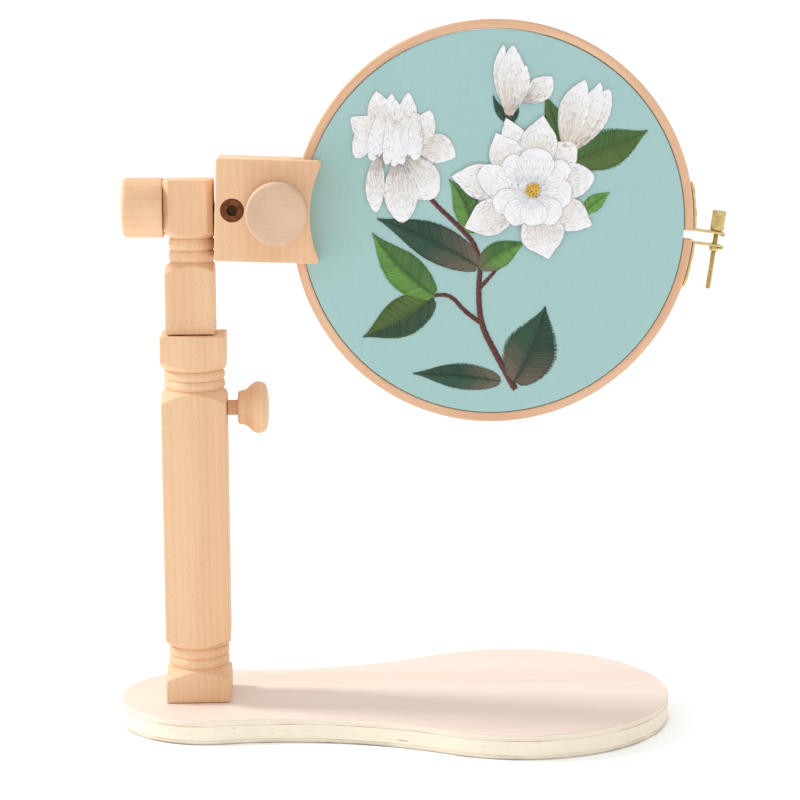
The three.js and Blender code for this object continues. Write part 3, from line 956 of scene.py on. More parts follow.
@dataclass
class BaseBoard:
    """The plywood board: two round lobes and concave arcs that touch both."""

    small_x: float = 6.5 * MM
    small_radius: float = 50.3 * MM
    large_x: float = 175.7 * MM
    large_radius: float = 84.0 * MM
    waist_radius: float = 187.0 * MM
    edge: float = 1.1 * MM
    screw_x: float = 9.0 * MM
    screw_hole: float = 2.3 * MM
    head_hole: float = 4.3 * MM
    thickness: float = field(default_factory=lambda: span("base_board", 2)[1])

    def outline(self) -> Array:
        """The board's plan: each waist arc's centre lies one waist radius outside both lobes.

        Returns:
            [points, 2], anticlockwise.
        """
        gap = self.large_x - self.small_x
        to_small, to_large = self.small_radius + self.waist_radius, self.large_radius + self.waist_radius
        along = (to_small**2 - to_large**2 + gap**2) / (2 * gap)
        away = math.sqrt(to_small**2 - along**2)
        small, large = math.atan2(away, along), math.atan2(away, along - gap)
        waist = self.small_x + along
        return joined(
            arc((self.large_x, 0), self.large_radius, -large, large, 97),
            arc((waist, away), self.waist_radius, large + math.pi, small + math.pi, 25),
            arc((self.small_x, 0), self.small_radius, small, math.tau - small, 65),
            arc((waist, -away), self.waist_radius, math.pi - small, math.pi - large, 25),
        )

    def build(self) -> None:
        """Makes the board with its countersunk holes."""
        outline = self.outline()
        grid = slab(outline, np.zeros(len(outline)), edge_section(0, self.thickness, self.edge))
        upright = grid[..., (0, 2, 1)]
        board = Shell("base_board_ply").add(upright).piece()
        holes = []
        for x in (-self.screw_x, self.screw_x):
            sink = profile(
                (self.head_hole, -MM, 0), (self.head_hole, 1.1 * MM, 0), (self.screw_hole, 3.6 * MM, 0),
                (self.screw_hole, self.thickness + MM, 0),
            )
            holes.append(plug(sink, (0, 0, 1), (x, 0, 0)))
        combine(board, holes)
        settle(board, Plywood("birch_plywood", self.thickness), "base", "plywood", "base_board")


@dataclass
class SquareTurning:
    """A square length of timber with turned runs of beads, worked out column by column round its axis.

    In a block the radius is the square's own. At a shoulder the wall follows the cone
    height = face -/+ slope * (radius - half), so that its edge climbs in an arc across each flat. Between
    two shoulders the radius swells from the groove to the bead as a power of a sine.
    """

    half: float
    bead: float
    groove: float
    slope: float = 0.7
    beads: int = 2
    rows_per_bead: int = 11

    def crease(self, square: Array, face: float, sign: float) -> Array:
        """The height where a shoulder meets the square, for each column."""
        return face - sign * self.slope * (square - self.half)

    def run(self, lower: Array, upper: Array, low_face: float, high_face: float) -> Stations:
        """The stations of one run: crease, cone, beads, cone, crease.

        Args:
            lower: The radius of the square below, for each column.
            upper: The radius of the square above.
            low_face: Where the flats below end.
            high_face: Where the flats above start.

        Returns:
            Stations of radius, height and corner reach.
        """
        bottom = float(self.crease(np.array(self.groove), low_face, 1))
        top = float(self.crease(np.array(self.groove), high_face, -1))
        ones = np.ones_like(lower)
        stations = [
            (lower, self.crease(lower, low_face, 1), 0.5 * MM), (self.groove * ones, bottom * ones, 0.0)
        ]
        share = np.linspace(0, self.beads, self.beads * self.rows_per_bead + 1)[1:]
        for step in share:
            swell = (self.bead - self.groove) * abs(math.sin(step * math.pi)) ** 0.55
            stations.append(
                ((self.groove + swell) * ones, (bottom + (top - bottom) * step / self.beads) * ones, 0.0)
            )
        stations.append((upper, self.crease(upper, high_face, -1), 0.5 * MM))
        return stations


@dataclass
class Posts:
    """The two-part post: a bored lower half, and an upper half on a round tenon."""

    lower: SquareTurning = field(default_factory=lambda: SquareTurning(17.5 * MM, 16.7 * MM, 15.5 * MM))
    upper: SquareTurning = field(default_factory=lambda: SquareTurning(13.2 * MM, 12.4 * MM, 11.2 * MM))
    foot_top: float = 30.0 * MM
    shaft_bottom: float = 43.9 * MM
    shaft_top: float = 183.3 * MM
    collar_bottom: float = 196.5 * MM
    bore: float = 10.3 * MM
    bore_floor: float = 50.0 * MM
    tenon: float = 10.0 * MM
    shift: float = -1.2 * MM
    shoulder: float = 215.4 * MM
    upper_shaft_top: float = 252.1 * MM
    head_bottom: float = 267.7 * MM
    chamfer: float = 3.0 * MM
    lock_height: float = field(default_factory=lambda: middle("lock_stud", 2))
    axle_height: float = field(default_factory=lambda: middle("axle_bolt", 2))

    @staticmethod
    def turns(*outlines: Array) -> Array:
        """Column angles: even steps, and the direction of every corner point of the outlines."""
        corners = [np.arctan2(o[:, 1], o[:, 0]) % math.tau for o in outlines]
        return np.unique(np.round(np.concatenate((whole_turn(96), *corners)), 5))

    @staticmethod
    def square(half: float, corner: float, shift: float = 0.0, flat: bool = False) -> Array:
        """A square outline whose corners are rounded, or cut flat and eased.

        Args:
            half: Half its side.
            corner: How much each corner takes up.
            shift: How far it lies off the axis, along X.
            flat: Whether its corners are cut flat.

        Returns:
            [points, 2], anticlockwise.
        """
        if flat:
            inner = half - corner
            ends = [(half, -inner), (half, inner), (inner, half), (-inner, half)]
            ends += [(-half, inner), (-half, -inner), (-inner, -half), (inner, -half)]
            outline = rounded_path(np.array(ends), np.full(8, 0.35 * MM), 3)
        else:
            ends = [(half, -half), (half, half), (-half, half), (-half, -half)]
            outline = rounded_path(np.array(ends), np.full(4, corner), 5)
        return outline + (shift, 0)

    def build_lower(self) -> None:
        """The lower post, bored from its top and drilled for the lock's insert."""
        low, high = span("lower_post", 2)
        outline = self.square(self.lower.half, 1.4 * MM)
        turns = self.turns(outline)
        square, ones = radial(outline, turns), np.ones(len(turns))
        stations = [(square * 0.6, low * ones, 0.0), (square, low * ones, 0.7 * MM)]
        stations += self.lower.run(square, square, self.foot_top, self.shaft_bottom)
        stations += self.lower.run(square, square, self.shaft_top, self.collar_bottom)
        stations += [
            (square, high * ones, 0.9 * MM),
            (self.bore * ones, high * ones, 0.5 * MM),
            (self.bore * ones, self.bore_floor * ones, 0.0),
            (self.bore * 0.3 * ones, self.bore_floor * ones, 0.0),
        ]
        post = Shell("lower_post_beech").add(skin(stations, turns)).piece()
        inside, outside = self.bore - 3 * MM, self.lower.half + 2 * MM
        combine(post, [drill(5.3 * MM, (inside, 0, self.lock_height), (outside, 0, self.lock_height))])
        settle(post, Beech("beech_lower_post", Grain.ALONG_Z), "base", "beech", "lower_post")

    def build_upper(self) -> None:
        """The upper post, its square a little off the axis of its tenon."""
        low, high = span("upper_post", 2)
        shaft = self.square(self.upper.half, 1.0 * MM, self.shift)
        head = self.square(self.upper.half, self.chamfer, self.shift, flat=True)
        turns = self.turns(shaft, head)
        lower, upper, ones = radial(shaft, turns), radial(head, turns), np.ones(len(turns))
        stations = [
            (self.tenon * 0.4 * ones, low * ones, 0.0),
            (self.tenon * ones, low * ones, 1.2 * MM),
            (self.tenon * ones, self.shoulder * ones, 0.0),
            (lower, self.shoulder * ones, 0.7 * MM),
        ]
        stations += self.upper.run(lower, upper, self.upper_shaft_top, self.head_bottom)
        stations += [(upper, high * ones, 0.9 * MM), (upper * 0.5, high * ones, 0.0)]
        post = Shell("upper_post_beech").add(skin(stations, turns)).piece()
        reach = 20 * MM
        combine(post, [drill(4 * MM, (-reach, 0, self.axle_height), (reach, 0, self.axle_height))])
        finish = Beech("beech_upper_post", Grain.ALONG_Z, shift=(52.0, 66.0, 12.0))
        settle(post, finish, "upper_post", "beech", "upper_post")

    def build(self) -> None:
        """Makes both posts."""
        self.build_lower()
        self.build_upper()


@dataclass
class Hardware:
    """The finishes that the small metal parts share, each made once."""

    steel: bpy.types.Material = field(
        default_factory=lambda: Metal(
            "zinc_steel", srgb(196, 196, 192), srgb(150, 148, 142), 0.28
        ).material()
    )
    bronze: bpy.types.Material = field(
        default_factory=lambda: Metal(
            "bronzed_insert", srgb(136, 84, 56), srgb(102, 60, 40), 0.36
        ).material()
    )
    brass: bpy.types.Material = field(
        default_factory=lambda: Metal(
            "pale_brass", srgb(224, 203, 146), srgb(208, 185, 126), 0.24
        ).material()
    )

    def rod(self, name: str, body: str, start: Colour, end: Colour, radius: float = 3 * MM) -> None:
        """A threaded rod between two points, in place of the CAD node of that name.

        Args:
            name: The CAD node.
            body: The body it rides on.
            start: One end.
            end: The other end.
            radius: Over its thread.
        """
        direction = np.array(end) - np.array(start)
        radii, heights, turns = threaded_rod(radius, float(np.linalg.norm(direction)), MM)
        grid = revolve(radii, heights, turns, tuple(direction), start)
        settle(Shell(f"{name}_thread").add(grid).piece(60), self.steel, body, "steel", name)

    def bush(
        self, name: str, body: str, direction: Colour, start: Colour, bore: float, outer: float,
        long: float
    ) -> None:
        """A plain threaded insert from its mouth inwards, in place of the CAD node of that name.

        Args:
            name: The CAD node.
            body: The body it rides on.
            direction: From its mouth inwards.
            start: The middle of its mouth.
            bore: Its inner radius.
            outer: Its outer radius.
            long: Its length.
        """
        ease = 0.35 * MM
        path = profile((outer, 0, ease), (bore, 0, ease), (bore, long, ease), (outer, long, ease), steps=3)
        shell = Shell(f"{name}_bush").add(lathe(path, direction, start, 48), loop=True)
        settle(shell.piece(), self.bronze, body, "bronze", name)


@dataclass
class BarrelKnob:
    """A short turned cylinder with a bored back, a rounded rim and a face that crowns a little."""

    radius: float = 16.0 * MM
    length: float = 22.5 * MM
    rim: float = 2.0 * MM
    crown: float = 0.5 * MM
    socket: float = 3.3 * MM
    socket_depth: float = 14.6 * MM

    def grid(self, direction: Colour, start: Colour) -> Array:
        """The turned surface, from the foot of the socket round to the crown.

        Args:
            direction: Out of the wood.
            start: The middle of the face that it turns against.

        Returns:
            A [rows, columns, 3] grid.
        """
        flat = self.length - self.crown
        path = profile(
            (0.4 * MM, self.socket_depth, 0), (self.socket, self.socket_depth, 0.3 * MM),
            (self.socket, 0, 0.3 * MM),
            (self.radius, 0, 0.9 * MM), (self.radius, flat, self.rim),
            (self.radius * 0.5, self.length - self.crown * 0.2, 3 * MM),
            (0.3 * MM, self.length, 0), steps=7,
        )
        return lathe(path, direction, start, 96)


@dataclass
class LockScrew:
    """The thumb screw in the side of the lower post."""

    height: float = field(default_factory=lambda: middle("lock_stud", 2))
    stud: Point = field(default_factory=lambda: span("lock_stud", 0))
    insert: Point = field(default_factory=lambda: span("lock_insert", 0))
    neck: float = field(default_factory=lambda: span("lock_knob", 0)[0])
    socket: float = 3.3 * MM

    def build(self, hardware: Hardware) -> None:
        """Makes the insert, the stud and the mushroom knob.

        Args:
            hardware: The shared metals.
        """
        hardware.rod(
            "lock_stud", "lock_stud", (self.stud[0], 0, self.height), (self.stud[1], 0, self.height)
        )
        mouth = (self.insert[1], 0, self.height)
        hardware.bush(
            "lock_insert", "base", (-1, 0, 0), mouth, self.socket, 5 * MM, self.insert[1] - self.insert[0]
        )
        corners = (
            (0.4, 15, 0), (3.3, 15, 0.2), (3.3, -0.45, 0.2), (4.2, -0.45, 0.3), (4.2, 5.1, 0.6),
            (8.9, 5.2, 1.2), (9.7, 9.6, 1.6),
            (12.4, 12.2, 2.0), (14.1, 14.6, 1.8), (14.2, 17.8, 2.2), (12.4, 20.9, 2.6), (6, 22, 3.0),
            (0.3, 22, 0),
        )
        path = profile(*corners, steps=7) * MM
        knob = Shell("lock_knob_beech").add(lathe(path, (1, 0, 0), (self.neck, 0, self.height), 96)).piece()
        settle(
            knob, Beech("beech_lock_knob", Grain.ALONG_Z, shift=(22.0, 9.0, 40.0)), "lock_knob", "beech",
            "lock_knob"
        )


@dataclass
class Axle:
    """The bolt that the clamp swivels on and the knob that tightens it."""

    height: float = field(default_factory=lambda: middle("axle_bolt", 2))
    bolt: Point = field(default_factory=lambda: span("axle_bolt", 0))
    face: float = field(default_factory=lambda: span("axle_knob", 0)[1])

    def build(self, hardware: Hardware) -> None:
        """Makes the bolt and the knob.

        Args:
            hardware: The shared metals.
        """
        hardware.rod(
            "axle_bolt", "axle_bolt", (self.bolt[0], 0, self.height), (self.bolt[1], 0, self.height)
        )
        grid = BarrelKnob(rim=3.0 * MM, crown=0.9 * MM).grid((-1, 0, 0), (self.face, 0, self.height))
        finish = Beech("beech_axle_knob", Grain.ALONG_Y, shift=(15.0, 33.0, 20.0), ring_gap=5.0)
        settle(Shell("axle_knob_beech").add(grid).piece(), finish, "axle_knob", "beech", "axle_knob")


@dataclass
class Clamp:
    """An L-shaped body and a loose front jaw, both hollowed at one end to suit the hoop."""

    seat: Seat
    length: float = 55.1 * MM
    half_height: float = 27.0 * MM
    jaw: float = 15.0 * MM
    corner: float = 1.5 * MM
    edge: float = 1.3 * MM
    end_radius: float = 60.0 * MM
    end_depth: float = 49.9 * MM
    tip_half: float = 24.4 * MM
    slot_y: float = -3.0 * MM
    slot_half: float = 5.4 * MM
    spacer_gap: float = 0.6 * MM
    bolt_x: float = 32.5 * MM
    insert_x: float = 9.1 * MM
    dowel_x: float = 12.0 * MM
    dowel_z: float = 18.0 * MM
    spacer_end: float = 39.3 * MM
    dowel_length: float = 20.8 * MM

    def outline(self) -> tuple[Array, Array]:
        """A plate whose right-hand end is one concave arc between two eased tips.

        Returns:
            The corners and their reaches, for slab.
        """
        sweep = math.asin(self.tip_half / self.end_radius)
        centre = (self.end_depth + self.end_radius, 0.0)
        hollow = arc(centre, self.end_radius, math.pi + sweep, math.pi - sweep, 41)
        high, far = self.half_height, self.length + 0.3 * MM
        points = np.concatenate(([(0, -high), (far, -high)], hollow, [(far, high), (0, high)]))
        reaches = np.array(
            [self.corner, 3.2 * MM, 0.9 * MM] + [0.0] * 39 + [0.9 * MM, 3.2 * MM, self.corner]
        )
        return points, reaches

    def spacer_outline(self) -> tuple[Array, Array]:
        """The filling between the jaws, which stops short of the hoop.

        Returns:
            The corners and their reaches, for slab.
        """
        high, far = self.half_height, self.spacer_end
        points = np.array([(0, -high), (far, -high), (far, high), (0, high)])
        return points, np.array([self.corner, 0.4 * MM, 0.4 * MM, self.corner])

    def shape(self, name: str, grid: Array) -> bpy.types.Object:
        """A piece from a grid in the clamp's own axes."""
        return Shell(name).add(self.seat.place(grid)).piece()

    def hole(self, radius: float, start: Colour, end: Colour) -> bpy.types.Object:
        """A drill between two points in the clamp's own axes."""
        ends = self.seat.place(np.array([start, end]))
        return drill(radius, tuple(ends[0]), tuple(ends[1]))

    def build_body(self) -> None:
        """The rear plate and its spacer as one solid, drilled for bolt, inserts and dowels."""
        front, back = self.slot_y - self.slot_half, self.slot_y + self.slot_half
        plate = self.shape(
            "clamp_body_beech", slab(*self.outline(), edge_section(back, back + self.jaw, self.edge))
        )
        section = edge_section(front + self.spacer_gap, back + 2.5 * MM, 0.5 * MM)
        spacer = self.shape("spacer", slab(*self.spacer_outline(), section))
        combine(plate, [spacer], "UNION")
        rear = back + self.jaw
        holes = [
            self.hole(4.6 * MM, (-MM, 0, 0), (14 * MM, 0, 0)),
            self.hole(3.3 * MM, (self.bolt_x, front - MM, 0), (self.bolt_x, rear - 11 * MM, 0)),
            self.hole(4.6 * MM, (self.bolt_x, rear - 12.5 * MM, 0), (self.bolt_x, rear + MM, 0)),
        ]
        for z in (-self.dowel_z, self.dowel_z):
            holes.append(
                self.hole(3.3 * MM, (self.dowel_x, front - MM, z), (self.dowel_x, back + 4 * MM, z))
            )
        combine(plate, holes)
        finish = Beech("beech_clamp_body", Grain.ALONG_X, shift=(31.0, 52.0, 38.0))
        settle(plate, finish, "clamp", "beech", "clamp_body")

    def build_jaw(self) -> None:
        """The loose jaw, with its recessed threaded insert's hole."""
        inner = self.slot_y - self.slot_half
        face = inner - self.jaw
        jaw = self.shape("front_jaw_beech", slab(*self.outline(), edge_section(face, inner, self.edge)))
        holes = [
            self.hole(3.3 * MM, (self.bolt_x, face - MM, 0), (self.bolt_x, inner + MM, 0)),
            self.hole(4.6 * MM, (self.insert_x, face - MM, 0), (self.insert_x, face + 13.5 * MM, 0)),
            self.hole(6.3 * MM, (self.insert_x, face - MM, 0), (self.insert_x, face + 1.6 * MM, 0)),
        ]
        for z in (-self.dowel_z, self.dowel_z):
            holes.append(
                self.hole(3.3 * MM, (self.dowel_x, inner - 8 * MM, z), (self.dowel_x, inner + MM, z))
            )
        combine(jaw, holes)
        finish = Beech("beech_front_jaw", Grain.ALONG_Z, shift=(44.0, 12.0, 71.0), ring_gap=4.2)
        settle(jaw, finish, "front_jaw", "beech", "front_jaw")

    def build_insert(self, hardware: Hardware) -> None:
        """The flanged insert in the jaw's face: a ring whose inside is a hexagon near the mouth.

        Args:
            hardware: The shared metals.
        """
        face = self.slot_y - self.slot_half - self.jaw + 0.3 * MM
        turns = whole_turn(72)
        hexagon = arc((0, 0), 3.1 * MM, 0, math.tau, 7)[:-1]
        key = radial(hexagon, turns)
        ones = np.ones(len(turns))
        corners = [(4.3, 12.5, 0), (4.3, 1.0, 0.1), (6.0, 1.0, 0.3), (6.0, 0.0, 0.4)]
        stations = [(r * MM * ones, h * MM * ones, reach * MM) for r, h, reach in corners]
        stations += [(key, 0 * ones, 0.25 * MM), (key, 4 * MM * ones, 0.0)]
        stations += [(2.7 * MM * ones, 4 * MM * ones, 0.0), (2.7 * MM * ones, 12.5 * MM * ones, 0.0)]
        grid = skin(stations, turns, (0, 1, 0), (self.insert_x, face, 0))
        insert = Shell("face_insert_bronze").add(self.seat.place(grid), loop=True).piece()
        settle(insert, hardware.bronze, "front_jaw", "bronze", "face_insert")

    def build(self, hardware: Hardware) -> None:
        """Makes the clamp with its fittings and knob.

        Args:
            hardware: The shared metals.
        """
        self.build_body()
        self.build_jaw()
        self.build_insert(hardware)
        front, back = self.slot_y - self.slot_half, self.slot_y + self.slot_half
        face, rear = front - self.jaw, back + self.jaw
        along = tuple(self.seat.place(np.array((1.0, 0, 0))) - np.array(self.seat.origin))

        def at(x: float, y: float, z: float) -> Colour:
            """A point of the clamp in the frame."""
            return tuple(self.seat.place(np.array((x, y, z))))

        hardware.bush("axle_insert", "clamp", along, at(0.2 * MM, 0, 0), 3.6 * MM, 4.3 * MM, 12.3 * MM)
        hardware.bush(
            "clamp_insert", "clamp", (0, -1, 0), at(self.bolt_x, rear - 0.2 * MM, 0), 3.3 * MM, 4.3 * MM,
            12 * MM
        )
        hardware.rod(
            "clamp_bolt", "clamp_knob", at(self.bolt_x, face - 13.5 * MM, 0),
            at(self.bolt_x, rear - 2 * MM, 0)
        )
        for name, z in (("jaw_dowel_upper", self.dowel_z), ("jaw_dowel_lower", -self.dowel_z)):
            long, ease = self.dowel_length, 0.7 * MM
            path = profile((0.6 * MM, 0, 0), (3 * MM, 0, ease), (3 * MM, long, ease), (0.6 * MM, long, 0))
            grid = lathe(path, (0, 1, 0), at(self.dowel_x, front - 7 * MM, z), 40)
            pin = Shell(f"{name}_pin").add(grid).piece()
            settle(pin, Beech(f"beech_{name}", Grain.ALONG_Y), "clamp", "beech", name)
        grid = BarrelKnob(rim=1.9 * MM, crown=0.3 * MM).grid((0, -1, 0), at(self.bolt_x, face - 0.3 * MM, 0))
        pale, deep = srgb(222, 190, 162), srgb(206, 170, 140)
        finish = Beech(
            "beech_clamp_knob", Grain.ALONG_Y, pale=pale, deep=deep, shift=(6.0, 4.0, 9.0), ring_gap=2.6
        )
        settle(Shell("clamp_knob_beech").add(grid).piece(), finish, "clamp_knob", "beech", "clamp_knob")


@dataclass
class Hoop:
    """The split outer ring, the plain inner ring and the cloth stretched between them."""

    seat: Seat
    half_depth: float = 5.0 * MM
    outer: float = 107.75 * MM
    outer_bore: float = 102.75 * MM
    inner: float = 102.0 * MM
    inner_bore: float = 97.2 * MM
    inner_front: float = -4.4 * MM
    gap_turn: float = math.radians(-1.9)
    gap_width: float = 4.6 * MM
    cloth_radius: float = 102.5 * MM
    cloth_front: float = -5.1 * MM
    cloth_thickness: float = 0.35 * MM
    cut_width: float = 0.224

    def build_outer(self) -> None:
        """The outer ring: a rounded bar bent round from one side of its gap to the other."""
        middle_radius = (self.outer + self.outer_bore) / 2
        section = rounded_box(self.outer - self.outer_bore, 2 * self.half_depth, 1.3 * MM)[None]
        half_gap = self.gap_width / 2 / middle_radius
        ease = np.array([0.0, 0.12, 0.35]) * MM / middle_radius
        body = np.linspace(
            self.gap_turn + half_gap + 0.004, self.gap_turn + math.tau - half_gap - 0.004, 241
        )
        start, end = self.gap_turn + half_gap + ease, self.gap_turn + math.tau - half_gap - ease[::-1]
        turn = np.concatenate((start, body, end))
        path = np.stack((middle_radius * np.cos(turn), middle_radius * np.sin(turn)), -1)
        shrink = np.ones(len(turn))
        shrink[[0, -1]], shrink[[1, -2]] = 0.9, 0.97
        grid = swept(path, section, shrink)
        grid[..., 1] *= shrink[:, None]
        ring = Shell("outer_ring_wood").add(self.seat.place(grid)).piece()
        settle(ring, BentWood("bent_beech_outer"), "hoop", "hoop_wood", "outer_ring")

    def build_inner(self) -> None:
        """The inner ring: a rounded bar that joins up."""
        middle_radius = (self.inner + self.inner_bore) / 2
        depth = self.half_depth - self.inner_front
        section = rounded_box(
            self.inner - self.inner_bore, depth, 1.0 * MM
        )[None] + (0, (self.half_depth + self.inner_front) / 2)
        path = arc((0, 0), middle_radius, 0, math.tau, 241)[:-1]
        grid = swept(path, section, np.ones(len(path)), closed=True)
        ring = Shell("inner_ring_wood").add(self.seat.place(grid), loop=True).piece()
        settle(ring, BentWood("bent_beech_inner"), "inner_hoop", "hoop_wood", "inner_ring")

    def build_cloth(self, stitched: list[bpy.types.Object]) -> None:
        """The cloth: a disc over the inner ring's front, turned back between the rings.

        Its section runs from the middle to the rim and back along Y, and home again one thickness inside.
        The disc ripples by a few hundredths of a millimetre, as a sum of slow waves in X and Z.

        Args:
            stitched: The pieces of embroidery that lie on it; not used.
        """
        rim, front, thin = self.cloth_radius, self.cloth_front, self.cloth_thickness
        tail = self.half_depth - 0.3 * MM
        levels = np.linspace(0.3 * MM, rim - 1.5 * MM, 40)
        outside = np.stack((levels, np.full_like(levels, front)), -1)
        bend = profile((rim - 1.4 * MM, front, 0), (rim, front, 1.1 * MM), (rim, tail, 0), steps=7)
        home = profile(
            (rim - thin, tail, 0), (rim - thin, front + thin, 0.9 * MM), (rim - 1.4 * MM, front + thin, 0),
            steps=7
        )
        inside = outside[::-1] + (0, thin)
        path = np.concatenate((outside, bend, home, inside))
        grid = lathe(path, (0, 1, 0), (0, 0, 0), 180)
        x, z = grid[..., 0] / MM, grid[..., 2] / MM
        ripple = np.sin(x * 0.11 + 1.7) * np.sin(z * 0.09 + 0.4) + 0.6 * np.sin(x * 0.043 - z * 0.061)
        inwards = np.clip((rim - 4 * MM - np.hypot(grid[..., 0], grid[..., 2])) / (20 * MM), 0, 1)
        grid[..., 1] += 0.05 * MM * ripple * inwards
        uv = grid[..., (0, 2)]
        cloth = Shell("stretched_cloth").add(self.seat.place(grid), uv=uv).piece()
        settle(cloth, PlainWeave("teal_cotton"), "inner_hoop", "cloth", "fabric")
        area = math.pi * (self.cut_width / 2) ** 2

    def build(self) -> None:
        """Makes both rings."""
        self.build_outer()
        self.build_inner()


@dataclass
class Closure:
    """The brass hardware that draws the outer ring shut: two brackets, a knurled screw and its nut."""

    hoop: Hoop
    thickness: float = 1.3 * MM
    width: float = 9.0 * MM
    strip_end: float = math.radians(15.2)
    rivets: Point = (math.radians(6.0), math.radians(12.5))
    tab_turn: float = math.radians(-5.9)
    tab_middle: float = 7.0 * MM
    tab_half: float = 3.45 * MM
    tab_end: float = 124.0 * MM
    screw_out: float = 120.5 * MM
    shank: float = 1.55 * MM
    head: float = 3.65 * MM
    head_length: float = 11.0 * MM
    seat_level: float = 11.3 * MM
    tip: float = -20.2 * MM
    pitch: float = 0.8 * MM
    screw_hole: float = 1.9 * MM
    knurl: float = 0.34 * MM
    ridges: int = 32
    nut: float = 2.5 * MM
    nut_length: float = 2.2 * MM
    nut_drop: float = 0.85 * MM  # from the middle of the lower tab to the nut's top

    def tab_point(self, out: float, level: float) -> Array:
        """A point so far out along the tabs and so far up square to them, in the hoop's own X and Z."""
        c, s = math.cos(self.tab_turn), math.sin(self.tab_turn)
        return np.array((out * c - level * s, out * s + level * c))

    def frame_point(self, out: float, level: float) -> Array:
        """The same point in the frame."""
        x, z = self.tab_point(out, level)
        return self.hoop.seat.place(np.array((x, 0, z)))

    def bracket_path(self, side: int) -> tuple[Array, Array]:
        """The bent strip's centre line and its width.

        It follows the ring to the tab's root, turns out along the tab, and curls back under at the end. Its
        width closes as a quarter circle at the strip's end.

        Args:
            side: 1 for the upper bracket and -1 for the lower.

        Returns:
            The line's points, and the share of its whole width that the strip has at each.
        """
        centre = self.hoop.outer + 0.2 * MM + self.thickness / 2
        level = self.tab_middle + side * self.tab_half
        root_turn = self.tab_turn + math.asin(level / centre)
        far = self.hoop.gap_turn + side * self.strip_end
        hug = arc((0, 0), centre, far, root_turn + side * 0.004, 40)
        root = self.tab_point(math.sqrt(centre**2 - level**2) + 0.2 * MM, level)
        corner = rounded_path(
            np.array([hug[-1], root, self.tab_point(self.hoop.outer + 6 * MM, level)]),
            np.array([0, 1.4 * MM, 0]), 8
        )
        tab = np.array(
            [
                self.tab_point(out, level) for out in np.linspace(
                    self.hoop.outer + 7 * MM, self.tab_end - 0.6 * MM, 8
                )
            ]
        )
        curl_radius = 0.62 * MM
        turn = np.linspace(math.pi / 2, -math.pi * 0.75, 12)
        lip = np.array([
            self.tab_point(
                self.tab_end - 0.4 * MM + curl_radius * math.cos(a),
                level - curl_radius + curl_radius * math.sin(a)
            )
            for a in turn
        ])
        path = np.concatenate((hug[:-1], corner[1:], tab, lip))
        run = np.concatenate(([0], np.cumsum(np.linalg.norm(np.diff(path, axis=0), axis=1))))
        half = self.width / 2
        share = np.clip(1 - run / half, 0, 1)
        return path, np.sqrt(1 - 0.985 * share**2)

    def build_bracket(self, label: str, side: int, brass: bpy.types.Material) -> None:
        """One bracket with the domes of its two rivets.

        Args:
            label: The word that its pieces' names start with.
            side: 1 for the upper bracket and -1 for the lower.
            brass: The shared brass.
        """
        path, wide = self.bracket_path(side)
        section = rounded_box(self.thickness, self.width, 0.35 * MM, 3)[None]
        thin = np.ones(len(path))
        thin[-12:] = np.linspace(0.9, 0.72, 12)
        grid = swept(path, np.broadcast_to(section, (len(path), *section.shape[1:])), thin)
        grid[..., 1] *= wide[:, None]
        strip = Shell(f"{label}_bracket_strip").add(self.hoop.seat.place(grid)).piece()
        level = self.tab_middle + side * self.tab_half
        ends = [tuple(self.frame_point(self.screw_out, level + lift)) for lift in (-3 * MM, 3 * MM)]
        combine(strip, [drill(self.screw_hole, *ends, 32)])
        settle(strip, brass, "hoop", "brass", f"{label}_bracket")
        for i, turn in enumerate(self.rivets, start=1):
            angle = self.hoop.gap_turn + side * turn
            base = self.hoop.outer + self.thickness + 0.1 * MM
            dome = ((1.2, -5, 0), (1.2, 0.2, 0.1), (2.3, 0.15, 0.15), (2.2, 0.75, 0.7), (0.2, 0.95, 0))
            path = profile(*dome) * MM
            local = np.array([(0, 0, 0), (math.cos(angle), 0, math.sin(angle))])
            origin, tip = self.hoop.seat.place(local)
            direction = tip - origin
            grid = lathe(path, tuple(direction), tuple(origin + direction * base), 40)
            name = f"{label}_rivet_{i}"
            settle(Shell(f"{name}_dome").add(grid).piece(), brass, "hoop", "brass", name)

    def build_screw(self, brass: bpy.types.Material) -> None:
        """The screw: a threaded shank under a straight-knurled head, and the nut below the lower tab.

        Args:
            brass: The shared brass.
        """
        radii, heights, turns = threaded_rod(self.shank, self.seat_level - self.tip, self.pitch, 36)
        low, high = (self.frame_point(self.screw_out, level) for level in (self.tip, self.seat_level))
        direction = (high - low) / np.linalg.norm(high - low)
        shell = Shell("hoop_screw_brass").add(revolve(radii, heights, turns, tuple(direction), tuple(low)))
        turns = whole_turn(160)
        ridge = self.knurl * np.abs(((turns * self.ridges / math.tau) % 1) * 2 - 1)
        rim, top = self.head / MM, self.head_length / MM
        shape = profile(
            (1.0, 0.0, 0), (rim - 0.4, 0.0, 0.25), (rim, 0.6, 0.15), (rim, 2.6, 0), (rim, 2.61, 0),
            (rim, 8.4, 0), (rim, 8.41, 0), (rim, top - 0.6, 0.15), (rim - 0.4, top, 0.25),
            (1.0, top - 0.2, 0),
        )
        body = ((shape[:, 1] > 0.8) & (shape[:, 1] < 10.2)).astype(float)[:, None]
        radius = shape[:, :1] * MM - ridge * body
        shell.add(revolve(radius, shape[:, 1] * MM, turns, tuple(direction), tuple(high)))
        settle(shell.piece(50), brass, "hoop_screw", "brass", "hoop_screw")
        place = self.frame_point(self.screw_out, self.tab_middle - self.tab_half - self.nut_drop)
        bore, outer, long = self.screw_hole, self.nut, self.nut_length
        path = profile(
            (bore, 0, 0.15 * MM), (bore, long, 0.15 * MM), (outer, long, 0.3 * MM), (outer, 0, 0.2 * MM),
            steps=3
        )
        nut = Shell("hoop_nut_brass").add(
            lathe(path, tuple(-direction), tuple(place), 40), loop=True
        ).piece()
        settle(nut, brass, "hoop", "brass", "hoop_nut")

